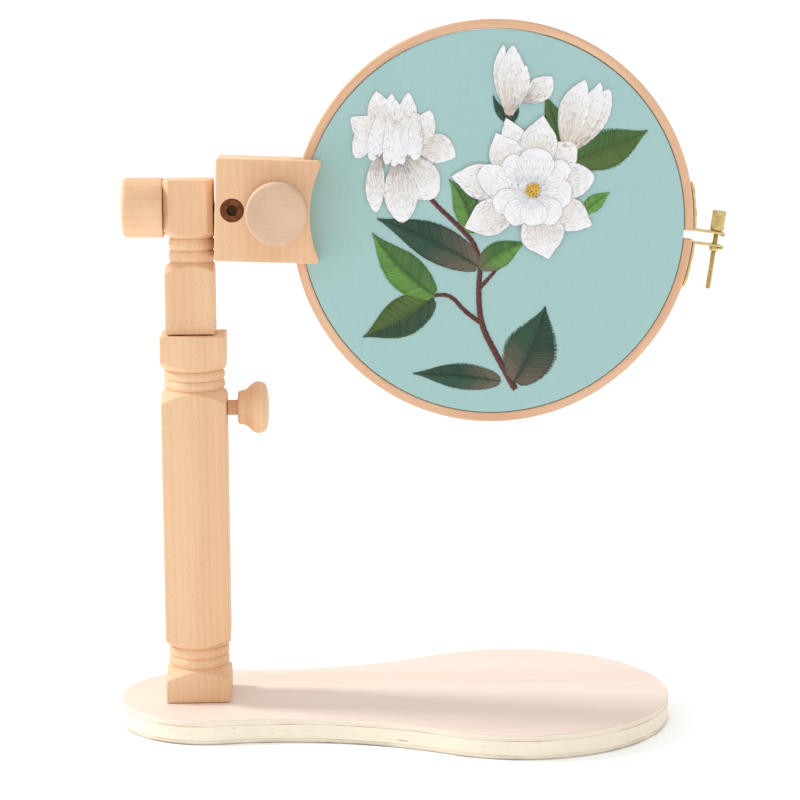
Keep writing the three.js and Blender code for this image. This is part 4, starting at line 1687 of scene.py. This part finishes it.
    def build(self, hardware: Hardware) -> None:
        """Makes the brackets, rivets, screw and nut.

        Args:
            hardware: The shared metals.
        """
        for label, side in (("upper", 1), ("lower", -1)):
            self.build_bracket(label, side, hardware.brass)
        self.build_screw(hardware.brass)


class Tone(Enum):
    """The colours of the embroidery cottons, as 0 to 255 screen values."""

    SNOW = (251, 251, 254)
    CREAM = (241, 236, 230)
    MIST = (216, 220, 224)
    SAND = (214, 196, 178)
    TAUPE = (156, 142, 134)
    UMBER = (116, 98, 82)
    FOREST = (42, 84, 58)
    DEEP = (32, 68, 50)
    OLIVE = (86, 112, 44)
    LEAF = (64, 108, 50)
    LIME = (106, 158, 68)
    BARK = (92, 48, 44)
    YOLK = (246, 214, 78)
    AMBER = (224, 172, 52)

    @property
    def linear(self) -> Array:
        """The colour as linear red, green and blue."""
        return np.array(srgb(*self.value)[:3])


@dataclass(frozen=True)
class Patch:
    """A stitched shape in millimetres, with s along it from 0 to 1 and t across it from -1 to 1."""

    width: float

    @property
    def length(self) -> float:
        """The length of its spine."""
        line = self.at(np.linspace(0, 1, 40), np.zeros(40))
        return float(np.linalg.norm(np.diff(line, axis=0), axis=1).sum())

    def at(self, s: Array, t: Array) -> Array:
        """Points of the shape, which each kind of patch works out in its own way."""
        raise NotImplementedError

    def half(self, s: Array) -> Array:
        """Half the width at s, which each kind of patch works out in its own way."""
        raise NotImplementedError

    def satin(self, chance: np.random.Generator, pitch: float = 0.52, stitch: float = 4.6) -> Array:
        """Long-and-short stitches that follow lines of constant t.

        Every second line stops where the shape is narrow, and every fourth where it is narrower still.

        Args:
            chance: The source of unevenness.
            pitch: Millimetres between lines where the shape is widest.
            stitch: Millimetres in a stitch.

        Returns:
            [stitches, 4] of s and t at the start, then at the end.
        """
        lines = max(3, round(self.width / pitch))
        count = max(1, round(self.length / stitch))
        t = np.linspace(-0.94, 0.94, lines)[:, None]
        breaks = np.linspace(0, 1, count + 1) + chance.uniform(-0.42, 0.42, (lines, count + 1)) / count
        breaks[:, 0] = chance.uniform(0.0, 0.03, lines)
        breaks[:, -1] = chance.uniform(0.965, 0.995, lines)
        start, end = np.maximum(breaks[:, :-1] - 0.25 / self.length, 0), breaks[:, 1:]
        share = self.half((start + end) / 2) * 2 / self.width
        index = np.arange(lines)[:, None]
        need = np.where(index % 2 == 1, 0.55, np.where(index % 4 == 2, 0.28, 0.0))
        keep = share >= need
        t = np.broadcast_to(t, start.shape) + chance.uniform(-0.015, 0.015, start.shape)
        return np.stack((start, t, end, t), -1)[keep]

    def fishbone(self, chance: np.random.Generator, pitch: float = 0.55, slant: float = 0.16) -> Array:
        """Slanting stitches from the midrib out to both edges.

        Args:
            chance: The source of unevenness.
            pitch: Millimetres between neighbours along the midrib.
            slant: How much further along each one ends, as a share of the length.

        Returns:
            [stitches, 4] of s and t at the start, then at the end.
        """
        count = max(6, round(self.length / pitch))
        start = np.linspace(-slant * 0.7, 0.97, count)
        sides = []
        for side in (-1.0, 1.0):
            wobble = chance.uniform(-0.004, 0.004, (2, count))
            end = start + slant * (1 - np.maximum(start, 0) * 0.8) + wobble[1]
            begin = np.clip(start + wobble[0], 0, 1)
            sides.append(np.stack((begin, np.full(count, 0.02 * side), np.clip(end, 0.02, 0.995),
                                   side * chance.uniform(0.93, 0.99, count)), -1))
        return np.concatenate(sides)

    def rim(self) -> Array:
        """The line round the shape, from its foot to its tip and back."""
        s = np.linspace(0.0, 0.995, 36)
        return np.concatenate((self.at(s, np.full(36, -1.0)), self.at(s[::-1], np.full(36, 1.0))))


@dataclass(frozen=True)
class Blade(Patch):
    """A petal or leaf on a curved spine.

    Its half width is width / 2 * sin(pi * q)^e, where q runs from the foot's share to 1 along it and is
    raised to the power that puts the widest place at the peak. The exponent e is blunt before the peak
    and cusp after.
    """

    tip: Point = (0.0, 1.0)
    base: Point = (0.0, 0.0)
    bend: float = 0.0
    peak: float = 0.56
    blunt: float = 0.72
    foot: float = 0.1
    cusp: float = 0.72

    def at(self, s: Array, t: Array) -> Array:
        """The spine is a parabola from base to tip, pushed sideways by the bend; t moves square to it.

        Args:
            s: Shares of the length.
            t: From -1 to 1 across.

        Returns:
            Points in millimetres.
        """
        base, tip = np.array(self.base), np.array(self.tip)
        run = tip - base
        control = (base + tip) / 2 + np.array((-run[1], run[0])) * self.bend
        p = np.clip(s, 0, 1)[..., None]
        spine = (1 - p) ** 2 * base + 2 * p * (1 - p) * control + p**2 * tip
        along = 2 * (1 - p) * (control - base) + 2 * p * (tip - control)
        along /= np.linalg.norm(along, axis=-1, keepdims=True)
        side = np.stack((-along[..., 1], along[..., 0]), -1)
        return spine + side * (t * self.half(p[..., 0]))[..., None]

    def half(self, s: Array) -> Array:
        """Half the width at s, by the sine in the class's own description.

        Args:
            s: Shares of the length.

        Returns:
            Millimetres, for each share.
        """
        power = math.log(0.5) / math.log(self.foot + (1 - self.foot) * self.peak)
        q = (self.foot + (1 - self.foot) * np.clip(s, 0, 1)) ** power
        exponent = np.where(s > self.peak, self.cusp, self.blunt)
        return self.width / 2 * np.maximum(np.sin(math.pi * q), 1e-4) ** exponent


@dataclass(frozen=True)
class Stem(Patch):
    """A stem through a few points, thinner towards its end."""

    points: tuple = ()
    taper: float = 0.7

    def at(self, s: Array, t: Array) -> Array:
        """The path's corners are rounded; s is a share of its length and t moves square to it.

        Args:
            s: Shares of the length.
            t: From -1 to 1 across.

        Returns:
            Points in millimetres.
        """
        corners = np.array(self.points)
        reach = np.full(len(corners), 1e3)
        reach[[0, -1]] = 0
        path = rounded_path(corners, reach, 12)
        run = np.concatenate(([0], np.cumsum(np.linalg.norm(np.diff(path, axis=0), axis=1))))
        slope = np.gradient(path, run, axis=0)
        spot = np.clip(s, 0, 1) * run[-1]
        here = np.stack([np.interp(spot, run, path[:, i]) for i in (0, 1)], -1)
        along = np.stack([np.interp(spot, run, slope[:, i]) for i in (0, 1)], -1)
        along /= np.linalg.norm(along, axis=-1, keepdims=True)
        side = np.stack((-along[..., 1], along[..., 0]), -1)
        return here + side * (t * self.half(s))[..., None]

    def half(self, s: Array) -> Array:
        """Half the width at s: a straight taper."""
        return self.width / 2 * (1 - (1 - self.taper) * np.clip(s, 0, 1))


@dataclass
class Embroidery:
    """A spray of white blossom in thread painting on the cloth, with leaves, buds and a branch."""

    seat: Seat
    level: float = -5.1 * MM
    rise: float = 2.25  # millimetres that the spray sits above the hoop's centre
    thread_half_width: float = 0.31
    thread_half_height: float = 0.2
    layer: float = 0.06
    shells: dict[str, Shell] = field(default_factory=dict)
    chance: np.random.Generator = field(default_factory=lambda: np.random.default_rng(THREAD_SEED))

    def lay(self, name: str, flat: Array, height: Array, tint: Array) -> None:
        """Adds tubes to a piece.

        Args:
            name: The piece.
            flat: [tubes, rows, columns, 2] in millimetres, from the rise above the hoop's centre.
            height: As flat without its last axis: millimetres in front of the cloth.
            tint: [tubes, 3] or [tubes, rows, columns, 3].
        """
        local = np.stack((flat[..., 0] * MM, self.level - height * MM, (flat[..., 1] + self.rise) * MM), -1)
        colour = tint if tint.ndim == 4 else np.broadcast_to(tint[:, None, None, :], (*height.shape, 3))
        shell = self.shells.setdefault(name, Shell(name))
        shell.add(self.seat.place(local), tint=colour)

    def threads(
        self, name: str, lines: Array, lift: float, tint: Array, size: float = 1.0, sides: int = 6
    ) -> None:
        """Lays threads along lines.

        Each is an oval tube whose ends are narrow and dip towards the cloth.

        Args:
            name: The piece.
            lines: [threads, rows, 2].
            lift: Millimetres from the cloth to the threads' undersides.
            tint: [threads, 3].
            size: The thickness against a usual thread.
            sides: Faces round each thread.
        """
        rows = lines.shape[1]
        along = np.gradient(lines, axis=1)
        along /= np.maximum(np.linalg.norm(along, axis=-1, keepdims=True), 1e-9)
        side = np.stack((-along[..., 1], along[..., 0]), -1)
        u = np.linspace(0, 1, rows)
        ends = np.clip(np.sin(math.pi * u) * 1.6 + 0.35, 0, 1)
        jitter = self.chance.uniform(-0.05, 0.05, len(lines))
        turn = whole_turn(sides)
        wide = self.thread_half_width * size * ends[:, None] * np.cos(turn)
        tall = self.thread_half_height * size * ends[:, None] * np.sin(turn)
        flat = lines[:, :, None, :] + side[:, :, None, :] * wide[None, ..., None]
        sink = (1 - ends[:, None]) * 0.28
        height = lift + self.thread_half_height * size + tall[None] - sink[None] + jitter[:, None, None]
        self.lay(name, flat, height, tint)

    def pad(self, name: str, patch: Patch, lift: float, tint: Array) -> None:
        """Lays the padding that keeps the cloth from showing between the stitches of a shape.

        Args:
            name: The piece.
            patch: The shape.
            lift: Millimetres from the cloth to its top.
            tint: Its colour.
        """
        s = np.linspace(0.01, 0.985, 26)
        half_turn = np.linspace(-1, 1, 7)
        t = np.concatenate((half_turn, half_turn[-2:0:-1])) * 0.97
        top = np.concatenate((1 - half_turn**6 * 0.8, np.zeros(5)))
        grid_s, grid_t = np.broadcast_arrays(s[:, None], t[None])
        flat = patch.at(grid_s, grid_t)[None]
        height = np.broadcast_to(-0.12 + (lift + 0.26) * top, grid_s.shape)[None]
        self.lay(name, flat, height, np.broadcast_to(tint, (1, 3)))

    def stitched(
        self, name: str, patch: Patch, ends: Array, lift: float, tint: Array, size: float = 1.0
    ) -> None:
        """Lays straight stitches between places on a patch.

        Args:
            name: The piece.
            patch: The shape.
            ends: [stitches, 4] of s and t at the start, then at the end.
            lift: Millimetres from the cloth.
            tint: [stitches, 3].
            size: The thickness against a usual thread.
        """
        u = np.linspace(0, 1, 5)
        s = ends[:, :1] + (ends[:, 2:3] - ends[:, :1]) * u
        t = ends[:, 1:2] + (ends[:, 3:4] - ends[:, 1:2]) * u
        self.threads(name, patch.at(s, t), lift, tint, size)

    def petal(
        self, name: str, order: int, tip: Point, base: Point, width: float, bend: float = 0.0,
        tones: tuple[Tone, Tone, Tone] = (Tone.SAND, Tone.CREAM, Tone.SNOW), cusp: float = 0.72,
    ) -> None:
        """One shaded petal: its first tone at the foot, its last along the rim, ringed by a dark line that
        is partly outline stitch and partly painted shadow where petals overlap.

        Args:
            name: The piece.
            order: How many petals lie under it.
            tip: Where it ends.
            base: Where it starts.
            width: Across its widest place.
            bend: The sideways push of its spine, as a share of its length.
            tones: Foot, middle and rim.
            cusp: How sharp its tip is: a half is round, and over 1 it is drawn out.
        """
        patch = Blade(width=width, tip=tip, base=base, bend=bend, cusp=cusp)
        foot, centre, edge = (tone.linear for tone in tones)
        lift = self.layer * order
        self.pad(name, patch, lift, centre)
        ends = patch.satin(self.chance)
        s, t = ends[:, (0, 2)].mean(1), ends[:, 1]
        noise = self.chance.uniform(-0.12, 0.12, len(s))
        low = np.clip(1 - (s + noise) / 0.42, 0, 1)[:, None]
        high = np.clip(np.maximum((s + noise - 0.5) / 0.35, (np.abs(t) - 0.6) / 0.3), 0, 1)[:, None]
        tint = centre * (1 - high) + edge * high
        tint = tint * (1 - low) + foot * low
        shade = np.where((np.abs(noise) > 0.09) & (s < 0.5), 0.88, 1.0) * (1 - 0.06 * np.clip(t, 0, 1))
        self.stitched(name, patch, ends, lift + 0.14, tint * shade[:, None])
        # the rim line is partly a real grey outline stitch and partly painted shadow, the dark line where
        # petals overlap
        line = patch.rim()[None]
        outline_and_gap_shade = (Tone.TAUPE.linear * 0.55 + Tone.CREAM.linear * 0.45)[None]
        self.threads(name, line, lift + 0.2, outline_and_gap_shade, 0.5, 5)

    def leaf(
        self, name: str, order: int, tip: Point, base: Point, width: float, bend: float = 0.0,
        tones: tuple[Tone, Tone] = (Tone.FOREST, Tone.DEEP), warm: float = 0.0,
    ) -> None:
        """One leaf in fishbone stitch, with a tone on each side of its midrib.

        Args:
            name: The piece.
            order: How many leaves lie under it.
            tip: Where it ends.
            base: Where it starts.
            width: Across its widest place.
            bend: The sideways push of its spine, as a share of its length.
            tones: The tones for positive and for negative t.
            warm: How far an umber shade runs up from its foot, as a share of its length.
        """
        patch = Blade(width=width, tip=tip, base=base, bend=bend, peak=0.42, blunt=0.7, foot=0.03, cusp=1.25)
        first, second = (tone.linear for tone in tones)
        lift = self.layer * order
        self.pad(name, patch, lift, second)
        ends = patch.fishbone(self.chance)
        s = ends[:, 0]
        mix = np.clip(
            0.5 + np.sign(ends[:, 3]) * 0.38 + self.chance.uniform(-0.22, 0.22, len(s)), 0, 1
        )[:, None]
        tint = second * (1 - mix) + first * mix
        glow = np.clip(1 - np.maximum(s, 0.03) / max(warm, 1e-3), 0, 1)[:, None] * 0.8
        tint = tint * (1 - glow) + Tone.UMBER.linear * glow
        tint = tint * self.chance.uniform(0.82, 1.14, len(s))[:, None]
        self.stitched(name, patch, ends, lift + 0.14, tint)
        s = np.linspace(0, 0.94, 30)
        rib = patch.at(s, np.zeros(30))[None]
        self.threads(name, rib, lift + 0.34, (second * 0.6 + first * 0.2)[None], 0.7, 5)

    def stem(self, name: str, order: int, width: float, *points: Point) -> None:
        """One woody stem in stem stitch, darker along one side.

        Args:
            name: The piece.
            order: How many shapes lie under it.
            width: At its foot.
            *points: The corners of its path.
        """
        patch = Stem(width=width, points=points)
        ends = patch.satin(self.chance, 0.5, 3.4)
        ends[:, 3] = np.clip(ends[:, 3] + 0.25, -1, 1)
        shade = np.clip(1.15 + ends[:, 1] * 0.4 + self.chance.uniform(-0.25, 0.25, len(ends)), 0.4, 1.8)
        self.pad(name, patch, self.layer * order, Tone.BARK.linear * 0.8)
        self.stitched(name, patch, ends, self.layer * order + 0.12, Tone.BARK.linear * shade[:, None])

    def knots(self, name: str, centre: Point, radius: float, count: int, lift: float) -> None:
        """French knots, spread by the golden angle at radii that grow as the square root of their number.

        Args:
            name: The piece.
            centre: The middle of the patch of knots.
            radius: Of that patch.
            count: How many knots.
            lift: Millimetres from the cloth to their undersides.
        """
        number = np.arange(count)
        away = radius * np.sqrt((number + 0.5) / count)
        turn = number * math.pi * (3 - math.sqrt(5))
        spots = np.stack((centre[0] + away * np.cos(turn), centre[1] + away * np.sin(turn)), -1)
        rise = np.linspace(0.12, math.pi - 0.12, 7)
        round_it = whole_turn(8)
        size = self.chance.uniform(0.62, 0.85, count)
        ring = np.sin(rise)[:, None, None] * np.stack((np.cos(round_it), np.sin(round_it)), -1)
        flat = spots[:, None, None, :] + size[:, None, None, None] * ring[None]
        height = lift + size[:, None, None] * (1 - np.cos(rise))[None, :, None] * 0.75 + 0 * flat[..., 0]
        share = np.clip(away / radius + self.chance.uniform(-0.3, 0.3, count), 0, 1)[:, None]
        self.lay(name, flat, height, Tone.YOLK.linear * (1 - share) + Tone.AMBER.linear * share)

    def branch_and_leaves(self) -> None:
        """The woody stems, and the leaves that lie over them."""
        name = "embroidered_branch"
        self.stem(name, 0, 3.4, (15.5, -92.5), (4, -73), (-5, -57), (-7, -39), (-6, -22))
        self.stem(name, 0, 2.2, (-5, -56), (-14, -50), (-22, -41), (-32, -42))
        self.stem(name, 0, 1.8, (-6, -37), (0, -30), (7, -21))
        self.stem(name, 0, 2.6, (-6.5, -24), (-10, -13), (-19, -4), (-34, 9), (-42, 20))
        self.stem(name, 0, 2.0, (20, 22), (13, 38), (7, 54))
        self.stem(name, 0, 2.0, (26, 20), (34, 30), (41, 40))
        name = "embroidered_leaves"
        dark, fresh, old = (Tone.FOREST, Tone.DEEP), (Tone.LIME, Tone.LEAF), (Tone.DEEP, Tone.OLIVE)
        self.leaf(name, 1, (-41, -84.5), (7, -87.5), 15, -0.03, dark, 0.4)
        self.leaf(name, 1, (29.5, -46), (14, -88), 30, -0.09, dark, 0.5)
        self.leaf(name, 2, (-68.5, -65.5), (-31, -43), 22, 0.06, old)
        self.leaf(name, 3, (-65, -9), (-30.5, -42), 21, 0.1, fresh)
        self.leaf(name, 4, (-63, -1.5), (-7, -26), 21, -0.06, dark, 0.45)
        self.leaf(name, 3, (17.5, -12), (-7, -26.5), 15, 0.08, (Tone.LEAF, Tone.LIME), 0.3)
        self.leaf(name, 3, (-25, 20.5), (-11, -8), 15, -0.16, fresh)
        self.leaf(name, 1, (24, 67), (33, 39), 11, -0.1, (Tone.OLIVE, Tone.LEAF))
        self.leaf(name, 1, (80.5, 49.5), (42, 33), 22, -0.06, (Tone.LEAF, Tone.OLIVE))
        self.leaf(name, 2, (61.5, 16), (48, 5), 9, 0.05, (Tone.LIME, Tone.LIME))

    def buds(self) -> None:
        """Two buds with their sepals."""
        name = "embroidered_buds"
        shaded = (Tone.TAUPE, Tone.CREAM, Tone.SNOW)
        self.leaf(name, 2, (-3, 65.5), (6.5, 51), 5, 0.14)
        self.leaf(name, 2, (10, 63), (6.5, 51), 4.5, -0.14)
        self.petal(name, 5, (1.5, 92.5), (5, 58), 8.5, 0.12, cusp=1.0)
        self.petal(name, 5, (28, 76.5), (13, 63), 13, -0.12, shaded, 1.1)
        self.petal(name, 8, (6.5, 92.6), (6, 55), 15, 0.0, cusp=1.15)
        self.petal(name, 9, (13.5, 82), (7.5, 57), 7, -0.12, shaded, 0.9)
        self.petal(name, 5, (58.5, 71), (42, 39), 12, -0.1, shaded, 0.8)
        self.petal(name, 7, (54, 74.5), (40.5, 38.5), 12, -0.04, cusp=1.1)
        self.petal(name, 9, (46, 75.5), (37.5, 38), 16, 0.1, cusp=1.1)

    def side_flower(self) -> None:
        """The flower on the left, seen from the side, with its petals hanging."""
        name = "embroidered_side_flower"
        cool = (Tone.CREAM, Tone.SNOW, Tone.SNOW)
        warm = (Tone.TAUPE, Tone.CREAM, Tone.SNOW)
        rear = (
            ((-21.5, 32), (-45, 38), 16, 0.16), ((-36, 57), (-47, 36), 13, -0.12),
            ((-48, 66), (-50, 37), 11, -0.04),
            ((-57, 65), (-53, 37), 11, 0.04), ((-65, 66), (-57, 40), 14, 0.06),
            ((-78.2, 51.9), (-58, 42), 13, 0.14),
        )
        for order, (tip, base, width, bend) in enumerate(rear):
            self.petal(name, 1 + order, tip, base, width, bend, cusp=1.1)
        front = (
            ((-75, 30), (-69, 53), 11, 0.12), ((-31, 11), (-50, 33), 21, -0.06),
            ((-63, 1.5), (-62, 34), 10, -0.1),
            ((-49, -3.5), (-53, 31), 18, 0.03), ((-67, 29), (-63, 55), 10, 0.14),
            ((-42, 30), (-43, 55), 11, -0.2),
            ((-59, 27), (-58, 53), 8, 0.16), ((-50, 27), (-48, 53), 8, -0.16),
            ((-54.5, 26), (-53, 50), 7, 0.02),
        )
        for order, (tip, base, width, bend) in enumerate(front):
            self.petal(name, 6 + order, tip, base, width, bend, warm if order in (1, 2, 3) else cool, 0.7)

    def blossom(self) -> None:
        """The open flower: a ring of outer petals, an inner ring that is whiter, and its yellow middle."""
        name = "embroidered_outer_petals"
        outer = (
            ((42, 41), (24, 22), 18, 0.03, 0.8), ((4, 54), (15, 24), 15, -0.04, 1.3),
            ((53, 24), (25, 17), 19, 0.05, 0.8),
            ((-24, 22), (12, 15), 19, -0.05, 1.3), ((53, -2), (25, 12), 18, -0.05, 1.2),
            ((-1, 46), (14, 21), 18, 0.06, 1.3),
            ((24, 56), (21, 22), 20, 0.02, 1.35), ((-16, -5), (14, 12), 20, 0.1, 1.2),
            ((30, -21), (20, 9), 24, 0.05, 1.45),
        )
        for order, (tip, base, width, bend, cusp) in enumerate(outer):
            self.petal(name, 10 + order, tip, base, width, bend, cusp=cusp)
        self.petal(
            "embroidered_inner_petals", 18, (13, 21), (27, 12), 12, 0.0, (Tone.MIST, Tone.MIST, Tone.SNOW)
        )
        name = "embroidered_inner_petals"
        inner = (
            ((-9, 26), (13, 8), 17, -0.1), ((38, 31), (23, 19), 13, -0.08), ((5, 33), (15, 19), 13, -0.12),
            ((41, 14), (24, 14), 17, 0.06), ((22, 38.5), (20, 19), 20, 0.0), ((-1, 7), (15, 15), 14, 0.1),
            ((35, 1), (22, 12), 15, -0.08), ((7, -1), (17, 12), 14, 0.1), ((22, -3), (20, 12), 15, 0.0),
        )
        for order, (tip, base, width, bend) in enumerate(inner):
            self.petal(name, 19 + order, tip, base, width, bend, (Tone.MIST, Tone.SNOW, Tone.SNOW), 0.5)
        self.knots("embroidered_centre", (20, 16), 3.9, 26, self.layer * 27 + 0.1)

    def build(self) -> list[bpy.types.Object]:
        """Stitches everything.

        Returns:
            The pieces that lie on the cloth.
        """
        self.branch_and_leaves()
        self.buds()
        self.side_flower()
        self.blossom()
        thread = StrandedThread("stranded_cotton").material()
        return [settle(shell.piece(60), thread, "inner_hoop", "cloth") for shell in self.shells.values()]


@dataclass
class Studio:
    """A white table and backdrop, soft light from the upper left, and the camera."""

    camera_place: Colour = (0.06381, -1.18914, 0.36894)
    yaw: float = 0.04
    pitch: float = 0.16
    roll: float = -0.004
    lens: float = 99.66
    sky: float = 0.88
    backdrop: float = 1.05
    floor_glow: float = 0.1
    key_power: float = 27.0

    def build(self) -> None:
        """Makes the floor, the lights and the camera."""
        disc = np.array([(6.0, -0.02), (6.0, 0.0)])
        floor = Shell("studio_floor").add(lathe(disc, (0, 0, 1), (0, 0, -0.0004), 64)).piece()
        graph = Graph("white_table")
        cloud = graph.noise(graph.place("Object", (1.0, 1.0, 1.0)), 3.0)
        white = srgb(255, 255, 255)
        tone = graph.blend(cloud, srgb(253, 253, 254), white)
        finish = graph.finish(
            Base_Color=tone, Roughness=0.7, Emission_Color=white, Emission_Strength=self.floor_glow
        )
        floor.data.materials.append(finish)
        world = bpy.data.worlds.new("studio_sky")
        world.use_nodes = True
        tree = world.node_tree
        background = tree.nodes["Background"]
        background.inputs[0].default_value = white
        source = tree.nodes.new("ShaderNodeTexCoord")
        split = tree.nodes.new("ShaderNodeSeparateXYZ")
        spread = tree.nodes.new("ShaderNodeMapRange")
        tree.links.new(source.outputs["Generated"], split.inputs[0])
        tree.links.new(split.outputs["Y"], spread.inputs["Value"])
        spread.inputs["From Min"].default_value, spread.inputs["From Max"].default_value = 0.2, 0.8
        spread.inputs[
            "To Min"
        ].default_value, spread.inputs["To Max"].default_value = self.sky, self.backdrop
        tree.links.new(spread.outputs[0], background.inputs[1])
        bpy.context.scene.world = world
        bpy.context.scene.view_settings.view_transform = "Standard"
        self.lamp("key", (-1.5, 0.35, 1.3), (0.1, 0.0, 0.1), 0.32, self.key_power)
        self.camera()

    @staticmethod
    def lamp(name: str, place: Colour, aim: Colour, size: float, power: float) -> None:
        """A square softbox that faces a point.

        Args:
            name: The lamp's name.
            place: Where it stands.
            aim: The point it faces.
            size: Its side, in metres.
            power: In watts.
        """
        light = bpy.data.lights.new(name, "AREA")
        light.size, light.energy = size, power
        lamp = bpy.data.objects.new(name, light)
        bpy.context.scene.collection.objects.link(lamp)
        back = np.array(place) - np.array(aim)
        along, side, other = across(back)
        rows = [(side[i], other[i], along[i], place[i]) for i in range(3)]
        lamp.matrix_world = Matrix((*rows, (0, 0, 0, 1)))

    def camera(self) -> None:
        """The camera: forward from yaw and pitch, then rolled about it."""
        sy, cy, sp, cp = math.sin(self.yaw), math.cos(self.yaw), math.sin(self.pitch), math.cos(self.pitch)
        forward, right = np.array((sy * cp, cy * cp, -sp)), np.array((cy, -sy, 0.0))
        up = np.cross(right, forward)
        c, s = math.cos(self.roll), math.sin(self.roll)
        right, up = c * right + s * up, -s * right + c * up
        view = bpy.data.cameras.new("camera")
        view.lens, view.sensor_width, view.clip_end = self.lens, 36.0, 50.0
        camera = bpy.data.objects.new("camera", view)
        bpy.context.scene.collection.objects.link(camera)
        rows = [(right[i], up[i], -forward[i], self.camera_place[i]) for i in range(3)]
        camera.matrix_world = Matrix((*rows, (0, 0, 0, 1)))
        bpy.context.scene.camera = camera


def main() -> None:
    """Builds every sub-assembly in order and dresses it."""
    logging.basicConfig(level=logging.INFO, format="%(message)s")
    Studio().build()
    hardware = Hardware()
    clamp_seat = Seat((CLAMP_FACE, 0.0, middle("axle_bolt", 2) + CLAMP_PIVOT * math.sin(DROOP)), DROOP)
    hoop_seat = Seat(tuple(clamp_seat.place(np.array(HOOP_IN_CLAMP))), DROOP)
    BaseBoard().build()
    Posts().build()
    LockScrew().build(hardware)
    Axle().build(hardware)
    Clamp(clamp_seat).build(hardware)
    hoop = Hoop(hoop_seat)
    hoop.build()
    Closure(hoop).build(hardware)
    hoop.build_cloth(Embroidery(hoop_seat).build())
    for name in ("base_screw_1", "base_screw_2"):
        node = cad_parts[name]
        node.data.materials.clear()
        node.data.materials.append(hardware.steel)


if __name__ == "__main__":
    main()
